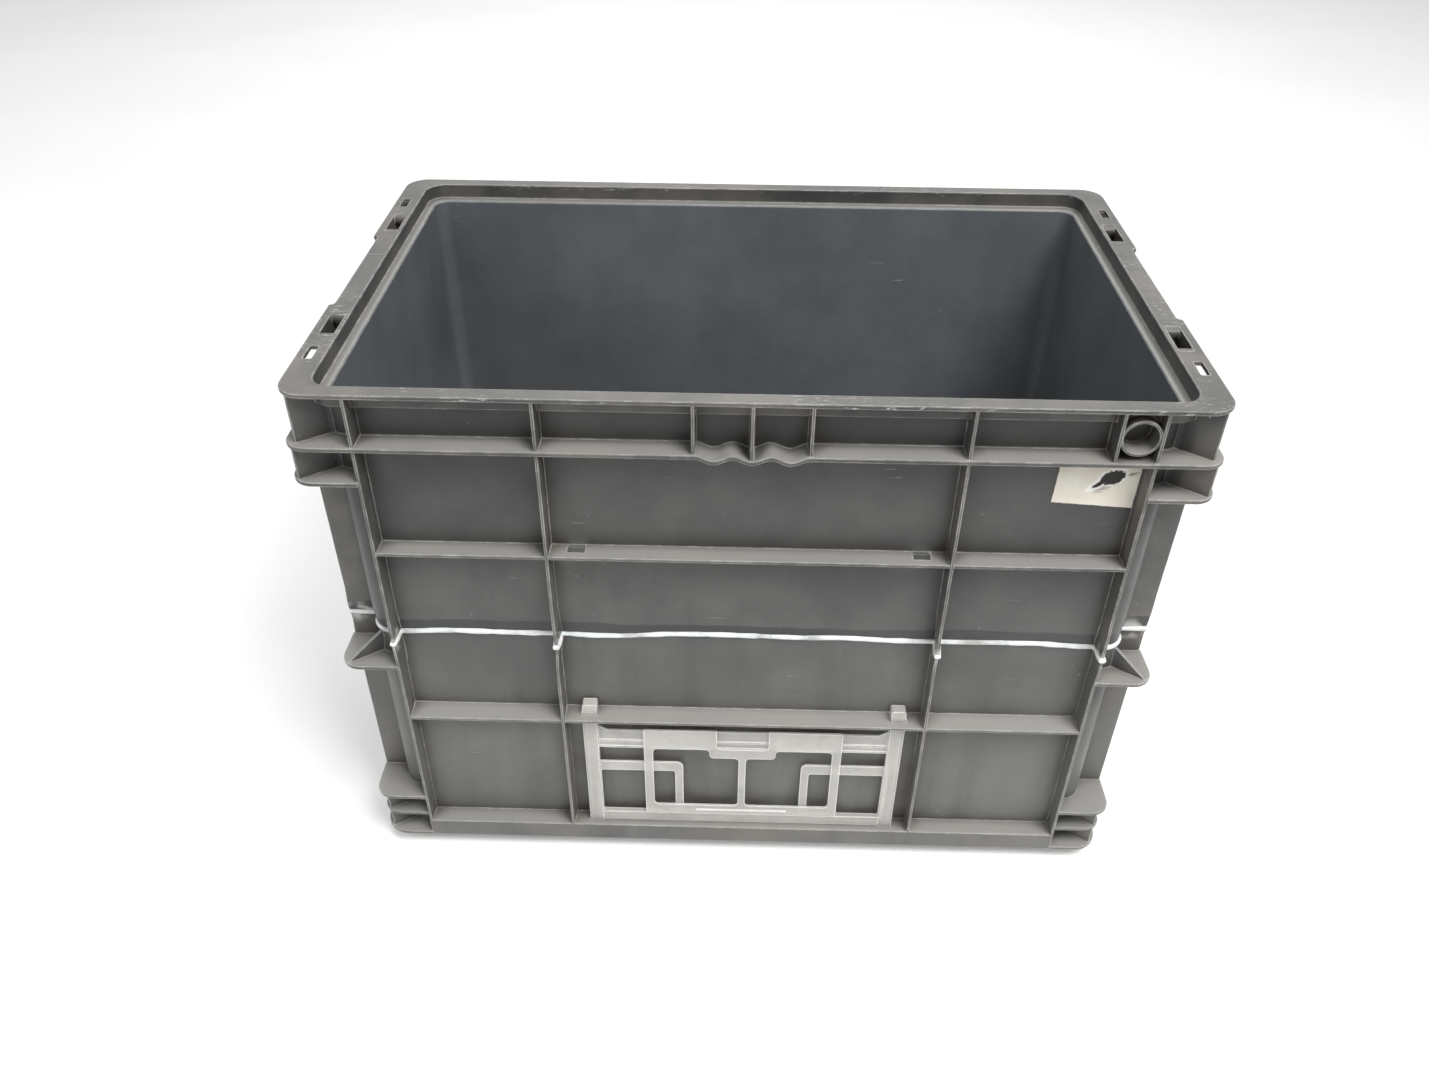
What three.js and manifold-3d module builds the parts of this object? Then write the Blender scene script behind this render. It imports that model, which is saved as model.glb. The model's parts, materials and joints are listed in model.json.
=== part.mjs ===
// Straight-wall stacking crate in polypropylene: walls and floor of two welded shells, the weld
// bead between them, a clear label holder with its gate, and one paper label.
// A deep crate is made from two shells of the same mould family, cut level and butt-welded:
// the lower shell has the floor and the foot, the upper shell has the stacking rim.
// A clear label holder snaps into notches in a rib of the front, and its gate opens on a hinge.
//
// Millimetres, +Z up, X along the length, -Y is the front. The origin is the centre of the base.

import * as THREE from 'three';
import { mergeVertices } from 'three/addons/utils/BufferGeometryUtils.js';
import Module from 'manifold-3d';

const wasm = await Module();
wasm.setup();

// ---------------------------------------------------------------- driving dimensions

const LENGTH = 609.6;
const WIDTH = 381;
const HEIGHT = 440;
const WALL = 3;
const PLATE = 3;
const FIN = 2.5;
const RIB = 2.5;
const GAP = 0.3;
const CORNER_STEPS = 8;

// Plan outlines: half length, half width and corner radius.
const BODY = { x: 279.2, y: 172.4, r: 14 };
const FOOT = { x: 281.8, y: 175.3, r: 15 };
const RECESS = { x: 283.3, y: 176.8, r: 15 };
const RIM = { x: 302.8, y: 189.3, r: 18 };
const BAND = { x: LENGTH / 2, y: WIDTH / 2, r: 15 };
const TIER_D = { x: 302.4, y: 188.8, r: 15 };
const TIER_F = { x: 301.2, y: 187.7, r: 15 };
const TIER_G = { x: 298.5, y: 185, r: 14 };
const BASE = { x: 300.2, y: 187.2, r: 20 };

// Levels: the top face of each plate, above the base.
const BASE_LOW = 12.8;
const FOOT_TOP = BASE_LOW + 0.6;
const FLOOR_TOP = 5.5;
const BASE_CORNER_TOP = 16;
const BASE_TOP = 30.5;
const TIER_G_TOP = 38;
const TIER_F_TOP = 60.5;
const RIB_G_TOP = 156;
const TIER_D_TOP = 207;
const WELD = 229;
const RIB_E_TOP = 314;
const TIER_C_TOP = 374;
const BAND_TOP = 401;
const RECESS_DEPTH = 11.7;

const LEDGE_TOP = HEIGHT - RECESS_DEPTH;
const LEDGE_LOW = LEDGE_TOP - PLATE;

// The weld's web lies between the two cut edges, and its bead stands out round them.
const WEB_HALF = 1;
const BEAD_HALF = 2.3;
const BEAD_OUT = 1.8;
const LOWER_EDGE = WELD - WEB_HALF - GAP;
const UPPER_EDGE = WELD + WEB_HALF + GAP;

// Fins: places along each side. The outer edge leans in towards the base.
const LONG_END_FIN = 258.8;
const LONG_FINS = [-LONG_END_FIN, -139.6, 139.6, LONG_END_FIN];
const BAND_FINS = [-38, 0, 38];
const SHORT_END_FIN = 150;
const SHORT_FINS = [-SHORT_END_FIN, -62, 62, SHORT_END_FIN];
const RIB_SETBACK = 0.4;
const FIN_REACH_TOP = 189;
const FIN_REACH_BASE = 186.8;
const LENGTH_OVER_WIDTH = 113.4;

// Notches in the long ribs, which take the posts of a label holder.
const NOTCH = { near: 113.8, far: 126, from: 172.8, to: 181.8 };

// Pieces run this far past a level cut, and are trimmed there together.
const SPARE = 2;

// ---------------------------------------------------------------- solids

function solidOf(geometry) {
  const bare = geometry.index ? geometry.toNonIndexed() : geometry.clone();
  bare.deleteAttribute('normal');
  bare.deleteAttribute('uv');
  const merged = mergeVertices(bare, 1e-4);
  const corners = [];
  for (let i = 0; i < merged.index.count; i += 3) {
    const [a, b, c] = merged.index.array.slice(i, i + 3);
    if (a !== b && b !== c && c !== a) corners.push(a, b, c);
  }
  return new wasm.Manifold(new wasm.Mesh({
    numProp: 3,
    vertProperties: new Float32Array(merged.attributes.position.array),
    triVerts: new Uint32Array(corners),
  }));
}

function join(solids) {
  return solids.reduce((total, solid) => total.add(solid));
}

function cut(solid, tools) {
  return tools.reduce((rest, tool) => rest.subtract(tool), solid);
}

function named(name, solid, material) {
  const { vertProperties, triVerts, numProp } = solid.getMesh();
  const geometry = new THREE.BufferGeometry();
  const places = new Float32Array((vertProperties.length / numProp) * 3);
  for (let i = 0; i < places.length / 3; i += 1) {
    for (let k = 0; k < 3; k += 1) places[3 * i + k] = vertProperties[numProp * i + k];
  }
  geometry.setAttribute('position', new THREE.BufferAttribute(places, 3));
  geometry.setIndex(new THREE.BufferAttribute(new Uint32Array(triVerts), 1));
  geometry.computeVertexNormals();
  const mesh = new THREE.Mesh(geometry, material);
  mesh.name = name;
  return mesh;
}

function block(x0, x1, y0, y1, z0, z1) {
  const geometry = new THREE.BoxGeometry(Math.abs(x1 - x0), Math.abs(y1 - y0), Math.abs(z1 - z0));
  geometry.translate((x0 + x1) / 2, (y0 + y1) / 2, (z0 + z1) / 2);
  return solidOf(geometry);
}

function roundedShape(x0, x1, y0, y1, r) {
  const shape = new THREE.Shape();
  shape.absarc(x1 - r, y0 + r, r, -Math.PI / 2, 0, false);
  shape.absarc(x1 - r, y1 - r, r, 0, Math.PI / 2, false);
  shape.absarc(x0 + r, y1 - r, r, Math.PI / 2, Math.PI, false);
  shape.absarc(x0 + r, y0 + r, r, Math.PI, 1.5 * Math.PI, false);
  shape.closePath();
  return shape;
}

// A level slab of one plan outline, grown by an offset.
function slab(outline, z0, z1, grow = 0) {
  const { x, y, r } = outline;
  const shape = roundedShape(-x - grow, x + grow, -y - grow, y + grow, r + grow);
  const geometry = new THREE.ExtrudeGeometry(shape, {
    depth: z1 - z0,
    bevelEnabled: false,
    curveSegments: CORNER_STEPS,
  });
  geometry.translate(0, 0, z0);
  return solidOf(geometry);
}

// Everything between two levels, for trimming a shell flat.
function layer(z0, z1) {
  return block(-LENGTH, LENGTH, -LENGTH, LENGTH, z0, z1);
}

// An upright panel: the shape is drawn in X and Z, and runs from the back face to the front face.
function panel(shape, yBack, yFront) {
  const geometry = new THREE.ExtrudeGeometry(shape, {
    depth: yBack - yFront,
    bevelEnabled: false,
    curveSegments: CORNER_STEPS,
  });
  geometry.rotateX(Math.PI / 2);
  geometry.translate(0, yBack, 0);
  return solidOf(geometry);
}

function polygon(points) {
  const shape = new THREE.Shape();
  shape.moveTo(...points[0]);
  points.slice(1).forEach((point) => shape.lineTo(...point));
  shape.closePath();
  return shape;
}

// ---------------------------------------------------------------- features of both shells

const INNER = { x: BODY.x - WALL, y: BODY.y - WALL, r: BODY.r - WALL };
const ROOT = { x: BODY.x - 1, y: BODY.y - 1, r: BODY.r - 1 };

function finReach(z) {
  return THREE.MathUtils.lerp(FIN_REACH_BASE, FIN_REACH_TOP, z / HEIGHT);
}

// A fin across the wall: drawn outwards and up, 2.5 mm thick, then turned to its side.
function fin(side, place, z0, z1, grow = 0) {
  const along = side === 'front' || side === 'back';
  const root = along ? ROOT.y - grow : ROOT.x - grow;
  const extra = along ? 0 : LENGTH_OVER_WIDTH;
  const outline = polygon([
    [root, z0],
    [finReach(z0) + extra + grow, z0],
    [finReach(z1) + extra + grow, z1],
    [root, z1],
  ]);
  const geometry = new THREE.ExtrudeGeometry(outline, { depth: FIN + 2 * grow, bevelEnabled: false });
  geometry.rotateX(Math.PI / 2);
  geometry.translate(0, FIN / 2 + grow, 0);
  const turn = { front: -Math.PI / 2, back: Math.PI / 2, right: 0, left: Math.PI }[side];
  geometry.rotateZ(turn);
  if (along) geometry.translate(place, 0, 0);
  else geometry.translate(0, place, 0);
  return solidOf(geometry);
}

function mainFins(z0, z1, grow = 0) {
  const solids = [];
  for (const side of ['front', 'back']) {
    for (const place of LONG_FINS) solids.push(fin(side, place, z0, z1, grow));
  }
  for (const side of ['left', 'right']) {
    for (const place of SHORT_FINS) solids.push(fin(side, place, z0, z1, grow));
  }
  return solids;
}

// The four corner bays, outside the end fins of two neighbouring sides.
function cornerBays(z0, z1) {
  const bays = [];
  for (const sx of [-1, 1]) {
    for (const sy of [-1, 1]) {
      bays.push(block(sx * LONG_END_FIN, sx * LENGTH, sy * SHORT_END_FIN, sy * WIDTH, z0, z1));
    }
  }
  return join(bays);
}

function cornerTier(outline, top) {
  return slab(outline, top - PLATE, top).intersect(cornerBays(top - 2 * PLATE, top + PLATE));
}

function arcMiddle(outline) {
  const inset = outline.r * (1 - Math.SQRT1_2);
  return new THREE.Vector2(outline.x - inset, outline.y - inset);
}

// Upright webs from the body's corner to a flange's corner. The drop lowers the outer end.
function cornerWebs(outline, z0, z1, drop = 0) {
  const start = arcMiddle(ROOT);
  const end = arcMiddle(outline).addScaledVector(new THREE.Vector2(-1, -1), Math.SQRT1_2);
  const run = end.clone().sub(start);
  const reach = run.length();
  const outlinePoints = [[0, z0], [reach, z0], [reach, z1 - drop], [0, z1]];
  const webs = [];
  for (const sx of [-1, 1]) {
    for (const sy of [-1, 1]) {
      const geometry = new THREE.ExtrudeGeometry(polygon(outlinePoints), {
        depth: FIN,
        bevelEnabled: false,
      });
      geometry.rotateX(Math.PI / 2);
      geometry.translate(0, FIN / 2, 0);
      geometry.rotateZ(Math.atan2(sy * run.y, sx * run.x));
      geometry.translate(sx * start.x, sy * start.y, 0);
      webs.push(solidOf(geometry));
    }
  }
  return webs;
}

// A level rib round the four sides between the end fins, with notches on the long sides.
function sideRibs(top) {
  const low = top - RIB;
  const reach = finReach(top) - RIB_SETBACK;
  const solids = [];
  for (const sy of [-1, 1]) {
    const rib = block(-LONG_END_FIN, LONG_END_FIN, sy * ROOT.y, sy * reach, low, top);
    const notches = [-1, 1].map((sx) => block(
      sx * NOTCH.near, sx * NOTCH.far,
      sy * NOTCH.from, sy * NOTCH.to,
      low - 1, top + 1,
    ));
    solids.push(cut(rib, notches));
  }
  for (const sx of [-1, 1]) {
    const end = sx * (reach + LENGTH_OVER_WIDTH);
    solids.push(block(sx * ROOT.x, end, -SHORT_END_FIN, SHORT_END_FIN, low, top));
  }
  return solids;
}

// ---------------------------------------------------------------- upper shell

const GRIP_WAVE = { half: 37.5, period: 25, depth: 4, steps: 36 };
const RING_BOSS = { x: 245.5, z: 418, outer: 13.2, inner: 11.2, reach: 187, fin: 231.8 };
const RIM_SLOT = { near: 286.3, far: 296.5, from: 72.5, to: 109 };
const RIM_HOLE = { near: 291, far: 297, from: 124, to: 142 };
const HAND_INSET = { half: 62, depth: 4 };
const SLEEVE = { wall: 2, low: 426 };

// The band flange dips in three low waves for the fingers, in the middle of each long side.
function gripWave(side) {
  const { half, period, depth, steps } = GRIP_WAVE;
  const dip = (x) => (-depth / 2) * (1 + Math.cos((2 * Math.PI * x) / period));
  const upper = [];
  for (let i = 0; i <= steps; i += 1) {
    const x = THREE.MathUtils.lerp(-half, half, i / steps);
    upper.push([x, BAND_TOP + dip(x)]);
  }
  const lower = upper.map(([x, z]) => [x, z - PLATE]).reverse();
  const edges = [side * ROOT.y, side * BAND.y];
  return panel(polygon([...upper, ...lower]), Math.max(...edges), Math.min(...edges));
}

function bandFlange() {
  const { half } = GRIP_WAVE;
  const gaps = [-1, 1].map((side) => block(
    -half, half,
    side * ROOT.y, side * (BAND.y + 1),
    BAND_TOP - PLATE - 1, BAND_TOP + 1,
  ));
  const flat = cut(slab(BAND, BAND_TOP - PLATE, BAND_TOP), gaps);
  return join([flat, gripWave(-1), gripWave(1)]);
}

function tube(outer, inner, x, z, yBack, yFront) {
  const ring = new THREE.Shape();
  ring.absarc(x, z, outer, 0, 2 * Math.PI, false);
  const bore = new THREE.Path();
  bore.absarc(x, z, inner, 0, 2 * Math.PI, true);
  ring.holes.push(bore);
  return panel(ring, yBack, yFront);
}

function rimOpenings() {
  const tools = [];
  const z0 = HEIGHT - PLATE - 2;
  const z1 = HEIGHT + 2;
  for (const sx of [-1, 1]) {
    for (const sy of [-1, 1]) {
      for (const { near, far, from, to } of [RIM_SLOT, RIM_HOLE]) {
        tools.push(block(sx * near, sx * far, sy * from, sy * to, z0, z1));
      }
    }
    const edge = RIM.x - HAND_INSET.depth;
    tools.push(block(sx * edge, sx * (RIM.x + 1), -HAND_INSET.half, HAND_INSET.half, z0, z1));
  }
  return tools;
}

// Each long slot carries on down as a short sleeve, open at the bottom.
function slotSleeves() {
  const { near, far, from, to } = RIM_SLOT;
  const sleeves = [];
  for (const sx of [-1, 1]) {
    for (const sy of [-1, 1]) {
      const outside = block(
        sx * (near - 0.8), sx * (far + SLEEVE.wall),
        sy * (from - SLEEVE.wall), sy * (to + SLEEVE.wall),
        SLEEVE.low, HEIGHT - 1,
      );
      const inside = block(sx * near, sx * far, sy * from, sy * to, SLEEVE.low - 1, HEIGHT + 1);
      sleeves.push(outside.subtract(inside));
    }
  }
  return sleeves;
}

function rim() {
  const wall = { x: RECESS.x + 2.7, y: RECESS.y + 2.7, r: RECESS.r + 2.7 };
  return join([
    slab(wall, LEDGE_LOW, HEIGHT - 1),
    cut(slab(RIM, HEIGHT - PLATE, HEIGHT), rimOpenings()),
    ...slotSleeves(),
  ]);
}

function upperShell() {
  const underRim = HEIGHT - 1;
  const overBand = BAND_TOP - 2;
  const bandFins = [];
  for (const side of ['front', 'back']) {
    for (const place of BAND_FINS) bandFins.push(fin(side, place, overBand, underRim));
  }
  const { outer, inner, x, z, reach } = RING_BOSS;
  const shell = join([
    slab(BODY, UPPER_EDGE - SPARE, LEDGE_TOP - 1),
    rim(),
    bandFlange(),
    ...mainFins(UPPER_EDGE - 2 * SPARE, underRim),
    ...bandFins,
    fin('front', RING_BOSS.fin, overBand, underRim),
    ...sideRibs(RIB_E_TOP),
    cornerTier(BAND, TIER_C_TOP),
    ...cornerWebs(RIM, overBand, underRim),
    ...cornerWebs(BAND, TIER_C_TOP - 1, overBand),
    tube(outer, inner, x, z, -ROOT.y, -reach),
  ]);
  return cut(shell, [
    slab(RECESS, LEDGE_TOP, HEIGHT + 1),
    slab(INNER, 0, HEIGHT),
    layer(0, UPPER_EDGE),
  ]);
}

// ---------------------------------------------------------------- lower shell

const FOOT_RIM = 12;
const BASE_RIBS = { thick: 2.5, pitch: 78, depth: 2.5 };

// A hollow band along each side at the base: a top plate and a skirt, open underneath.
function baseBand() {
  const low = BASE_TOP - PLATE;
  const halfX = LONG_END_FIN + FIN / 3;
  const halfY = SHORT_END_FIN + FIN / 3;
  const hollowX = BASE.x - FIN;
  const hollowY = BASE.y - FIN;
  const long = block(-halfX, halfX, -BASE.y, BASE.y, 0, BASE_TOP);
  const short = block(-BASE.x, BASE.x, -halfY, halfY, 0, BASE_TOP);
  return [
    long.subtract(block(-LENGTH, LENGTH, -hollowY, hollowY, -1, low)),
    short.subtract(block(-hollowX, hollowX, -WIDTH, WIDTH, -1, low)),
  ];
}

function baseNotches() {
  return [-1, 1].map((sx) => block(
    sx * NOTCH.near, sx * NOTCH.far,
    -NOTCH.from, -NOTCH.to,
    BASE_TOP - PLATE - 1, BASE_TOP + 1,
  ));
}

// The underside is sunk between a flat border and a grid of low ribs, all level with the base.
function undersidePockets() {
  const { thick, pitch, depth } = BASE_RIBS;
  const pocket = {
    x: FOOT.x - FOOT_RIM,
    y: FOOT.y - FOOT_RIM,
    r: 5,
  };
  const ribs = [];
  for (let x = -3.5 * pitch; x <= 3.5 * pitch; x += pitch) {
    ribs.push(block(x - thick / 2, x + thick / 2, -WIDTH, WIDTH, -1, depth + 1));
  }
  for (let y = -1.5 * pitch; y <= 1.5 * pitch; y += pitch) {
    ribs.push(block(-LENGTH, LENGTH, y - thick / 2, y + thick / 2, -1, depth + 1));
  }
  return cut(slab(pocket, -1, depth), ribs);
}

function lowerShell() {
  const webTop = WELD - BEAD_HALF - GAP;
  const sides = join([
    slab(BODY, BASE_LOW - SPARE, LOWER_EDGE + SPARE),
    ...baseBand(),
    slab(BASE, BASE_LOW - 1, BASE_CORNER_TOP).intersect(cornerBays(0, BASE_TOP)),
    ...mainFins(BASE_LOW - 2 * SPARE, LOWER_EDGE + 2 * SPARE),
    ...sideRibs(RIB_G_TOP),
    cornerTier(TIER_D, TIER_D_TOP),
    cornerTier(TIER_F, TIER_F_TOP),
    cornerTier(TIER_G, TIER_G_TOP),
    ...cornerWebs(TIER_D, TIER_D_TOP - 1, webTop, webTop - TIER_D_TOP),
    ...cornerWebs(TIER_G, TIER_G_TOP - 1, TIER_F_TOP - 1),
    ...cornerWebs(TIER_G, BASE_CORNER_TOP - 1, TIER_G_TOP - 1),
  ]);
  const trimmed = cut(sides, [layer(-LENGTH, BASE_LOW), layer(LOWER_EDGE, LENGTH)]);
  return cut(trimmed.add(slab(FOOT, 0, FOOT_TOP)), [
    slab(INNER, FLOOR_TOP, LOWER_EDGE + 1),
    undersidePockets(),
    ...baseNotches(),
  ]);
}

// ---------------------------------------------------------------- walls and floor

// Each shell is divided at its corners into four walls, and the lower one into a floor too.
// A wall or a floor is a simple shape on its own, so the space inside the crate stays open.
// The dividing planes start at the corner's centre and leave every corner web on a short side.
const SPLIT = { angle: 62, run: 60, kerf: 0.35 };
const FLOOR_PANEL = { x: 271, y: 164.5, r: 5 };

function wallSpace(side) {
  const x = BODY.x - BODY.r;
  const y = BODY.y - BODY.r;
  const turn = (SPLIT.angle * Math.PI) / 180;
  const farX = x + SPLIT.run * Math.cos(turn);
  const farY = y + SPLIT.run * Math.sin(turn);
  const endX = x + SPLIT.kerf;
  const endFarX = farX + SPLIT.kerf;
  const corners = {
    front: [[-x, -y], [-farX, -farY], [farX, -farY], [x, -y]],
    back: [[-x, y], [x, y], [farX, farY], [-farX, farY]],
    right: [[endX, -y], [endFarX, -farY], [LENGTH, -farY], [LENGTH, farY], [endFarX, farY], [endX, y]],
    left: [[-endX, y], [-endFarX, farY], [-LENGTH, farY], [-LENGTH, -farY], [-endFarX, -farY], [-endX, -y]],
  };
  const space = new THREE.ExtrudeGeometry(polygon(corners[side]), {
    depth: HEIGHT + 2,
    bevelEnabled: false,
  });
  space.translate(0, 0, -1);
  return solidOf(space);
}

const SIDES = ['front', 'back', 'left', 'right'];

function upperWalls() {
  const shell = upperShell();
  return SIDES.map((side) => [`upper_${side}`, shell.intersect(wallSpace(side))]);
}

function lowerWallsAndFloor() {
  const shell = lowerShell();
  const top = FLOOR_TOP + 1;
  const gap = {
    x: FLOOR_PANEL.x + GAP,
    y: FLOOR_PANEL.y + GAP,
    r: FLOOR_PANEL.r + GAP,
  };
  const ring = cut(shell, [slab(gap, -1, top)]);
  const walls = SIDES.map((side) => [`lower_${side}`, ring.intersect(wallSpace(side))]);
  return [...walls, ['floor_panel', shell.intersect(slab(FLOOR_PANEL, -1, top))]];
}

// ---------------------------------------------------------------- weld bead

// The cut section of both shells, grown by an offset, well past the weld above and below.
function weldSection(grow) {
  const reach = 3 * BEAD_HALF;
  const outer = slab(BODY, WELD - reach, WELD + reach, grow);
  const fins = mainFins(WELD - reach - 1, WELD + reach + 1, grow);
  const hollow = slab(INNER, WELD - reach - 2, WELD + reach + 2, -grow);
  return join([outer, ...fins]).subtract(hollow);
}

function weldBead() {
  const bead = weldSection(BEAD_OUT).intersect(layer(WELD - BEAD_HALF, WELD + BEAD_HALF));
  return bead.subtract(weldSection(GAP).subtract(layer(WELD - WEB_HALF, WELD + WEB_HALF)));
}

// ---------------------------------------------------------------- label holder and its gate

const POST = { near: 114.3, far: 125.5, front: -181.4, back: -173.2, skin: 2 };
const PLANE = { back: -176.8, front: -178.6 };
const TOP_RAIL = { low: 116, step: 124.5, high: 134.5 };
const ARM = { low: 89, high: 99, near: 47.5, thick: 6.5, r: 5 };
const BOTTOM_RAIL = { low: BASE_TOP + 0.4, high: 40.6 };
const HEAD = { near: 113.6, far: 126.2, low: RIB_G_TOP + 0.5, high: 169, front: -182.8 };
const HINGE = { y: -180.3, z: 42.2, r: 1.1 };
const GATE = { half: 78.5, high: 138, dip: 118, front: -181.2, back: -179.4 };

function span(x0, x1, z0, z1, yBack, yFront) {
  return block(x0, x1, yFront, yBack, z0, z1);
}

// A post is an upright channel, open to the wall, with a snap head on top.
function post(side) {
  const { near, far, front, back, skin } = POST;
  const foot = BASE_TOP - PLATE - 1.5;
  const section = polygon([
    [side * near, front],
    [side * far, front],
    [side * far, back],
    [side * (far - skin), back],
    [side * (far - skin), front + skin],
    [side * (near + skin), front + skin],
    [side * (near + skin), PLANE.back - 0.2],
    [side * near, PLANE.back - 0.2],
  ]);
  const channel = new THREE.ExtrudeGeometry(section, {
    depth: HEAD.low + 1 - foot,
    bevelEnabled: false,
  });
  channel.translate(0, 0, foot);
  const gusset = polygon([
    [side * (near + 0.5), TOP_RAIL.high - 1],
    [side * (near - 9), TOP_RAIL.high - 1],
    [side * (near + 0.5), TOP_RAIL.high + 6],
  ]);
  return join([
    solidOf(channel),
    span(side * HEAD.near, side * HEAD.far, HEAD.low, HEAD.high, back - 0.3, HEAD.front),
    panel(gusset, PLANE.back - 0.3, PLANE.front + 0.2),
  ]);
}

// One arm reaches in from each post and turns down to the bottom rail.
function arm(side) {
  const outer = new THREE.Shape();
  const { low, high, near, thick, r } = ARM;
  const inset = POST.near + 0.5;
  const foot = BOTTOM_RAIL.high - 1;
  outer.moveTo(side * near, foot);
  outer.lineTo(side * near, high - r);
  if (side > 0) outer.absarc(near + r, high - r, r, Math.PI, Math.PI / 2, true);
  else outer.absarc(-near - r, high - r, r, 0, Math.PI / 2, false);
  outer.lineTo(side * inset, high);
  outer.lineTo(side * inset, low);
  outer.lineTo(side * (near + thick), low);
  outer.lineTo(side * (near + thick), foot);
  outer.closePath();
  return panel(outer, PLANE.back, PLANE.front);
}

function labelHolder() {
  const inset = POST.near + 0.5;
  const { low, step, high } = TOP_RAIL;
  const { back, front } = PLANE;
  // The rail's section: a lip at the foot, a flat strip, and a plate set back above it.
  const section = [
    [back, low],
    [front - 0.4, low],
    [front - 0.4, low + 2],
    [front, low + 2.6],
    [front, step],
    [back + 0.4, step + 1.6],
    [back + 0.4, high],
    [back + 1.6, high],
    [back + 1.6, step - 1],
    [back, step - 1],
  ];
  const rail = new THREE.ExtrudeGeometry(
    polygon(section),
    { depth: 2 * inset, bevelEnabled: false },
  );
  rail.rotateX(Math.PI / 2);
  rail.rotateZ(Math.PI / 2);
  rail.translate(-inset, 0, 0);
  return join([
    post(-1),
    post(1),
    solidOf(rail),
    arm(-1),
    arm(1),
    span(-inset, inset, BOTTOM_RAIL.low, BOTTOM_RAIL.high, back - 0.1, POST.front + 0.2),
  ]);
}

// One window of the gate. Its top edge steps down towards the middle, under the thumb dip.
function gateWindow(side) {
  const hole = new THREE.Shape();
  const edge = { mid: 2.9, out: 71.3, low: 51, dip: 108, high: 117.3 };
  hole.moveTo(side * edge.mid, edge.low);
  hole.lineTo(side * edge.out, edge.low);
  hole.lineTo(side * edge.out, edge.high);
  hole.lineTo(side * 31, edge.high);
  hole.bezierCurveTo(
    side * 26, edge.high,
    side * 27, edge.dip,
    side * 20, edge.dip,
  );
  hole.lineTo(side * edge.mid, edge.dip);
  hole.closePath();
  return panel(hole, GATE.back + 1, GATE.front - 1);
}

function labelGate() {
  const { half, high, dip, front, back } = GATE;
  const outline = new THREE.Shape();
  const r = 3;
  outline.moveTo(-half, HINGE.z);
  outline.lineTo(half, HINGE.z);
  outline.lineTo(half, high);
  outline.lineTo(20.5 + r, high);
  outline.absarc(20.5 + r, high - r, r, Math.PI / 2, Math.PI, false);
  outline.bezierCurveTo(20.5, dip + 1, 19, dip, 14, dip);
  outline.lineTo(-14, dip);
  outline.bezierCurveTo(-19, dip, -20.5, dip + 1, -20.5, high - r);
  outline.absarc(-20.5 - r, high - r, r, 0, Math.PI / 2, false);
  outline.lineTo(-half, high);
  outline.closePath();
  const plate = cut(panel(outline, back, front), [gateWindow(-1), gateWindow(1)]);
  const barrel = new THREE.CylinderGeometry(HINGE.r, HINGE.r, 2 * half, 16);
  barrel.rotateZ(Math.PI / 2);
  barrel.translate(0, HINGE.y, HINGE.z);
  const rib = span(-37, 37, HINGE.z + 3, HINGE.z + 4.4, front + 0.5, front - 0.7);
  return join([plate, solidOf(barrel), rib]);
}

// ---------------------------------------------------------------- paper label

const PAPER = { left: 202, right: 257, low: 355, high: 387.5, thick: 0.5 };

function paperLabel() {
  const { left, right, low, high, thick } = PAPER;
  const back = -BODY.y - GAP;
  const torn = polygon([
    [left, low + 3.5],
    [left + 24, low + 1],
    [right - 0.6, low],
    [right, high - 0.6],
    [right - 30, high],
    [left + 1, high - 0.4],
  ]);
  return panel(torn, back, back - thick);
}

// ---------------------------------------------------------------- assembly

function plastic(name, color, roughness, opacity = 1) {
  return new THREE.MeshStandardMaterial({
    name,
    color,
    roughness,
    metalness: 0,
    opacity,
    transparent: opacity < 1,
  });
}

const grey = plastic('grey_polypropylene', 0x55585a, 0.55);
const bead = plastic('weld_flash', 0xc9c9c4, 0.6);
const clear = plastic('clear_polypropylene', 0xdedcd6, 0.35, 0.85);
const paper = plastic('paper', 0xd8d3c4, 0.9);

const crate = new THREE.Group();
crate.name = 'stacking_crate';
crate.add(
  ...lowerWallsAndFloor().map(([name, solid]) => named(name, solid, grey)),
  ...upperWalls().map(([name, solid]) => named(name, solid, grey)),
  named('weld_bead', weldBead(), bead),
  named('label_holder', labelHolder(), clear),
  named('label_gate', labelGate(), clear),
  named('paper_label', paperLabel(), paper),
);

export default crate;
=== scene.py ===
# %% [markdown]
# # A deep stacking crate, welded from two moulded shells
# The crate is injection-moulded polypropylene: thin walls, stiffened outside by fins and ribs.
# Two shells are cut level and welded into one deep crate, and a pale bead of melt shows where.
# A clear label holder clips on the front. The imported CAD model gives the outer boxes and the
# hinge, and this lesson makes the surfaces that a mould, a hot plate and long use leave behind.

# %% Load the frame
import json
import math
from collections import namedtuple

import bmesh
import bpy
from mathutils import Matrix, Vector, noise


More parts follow.
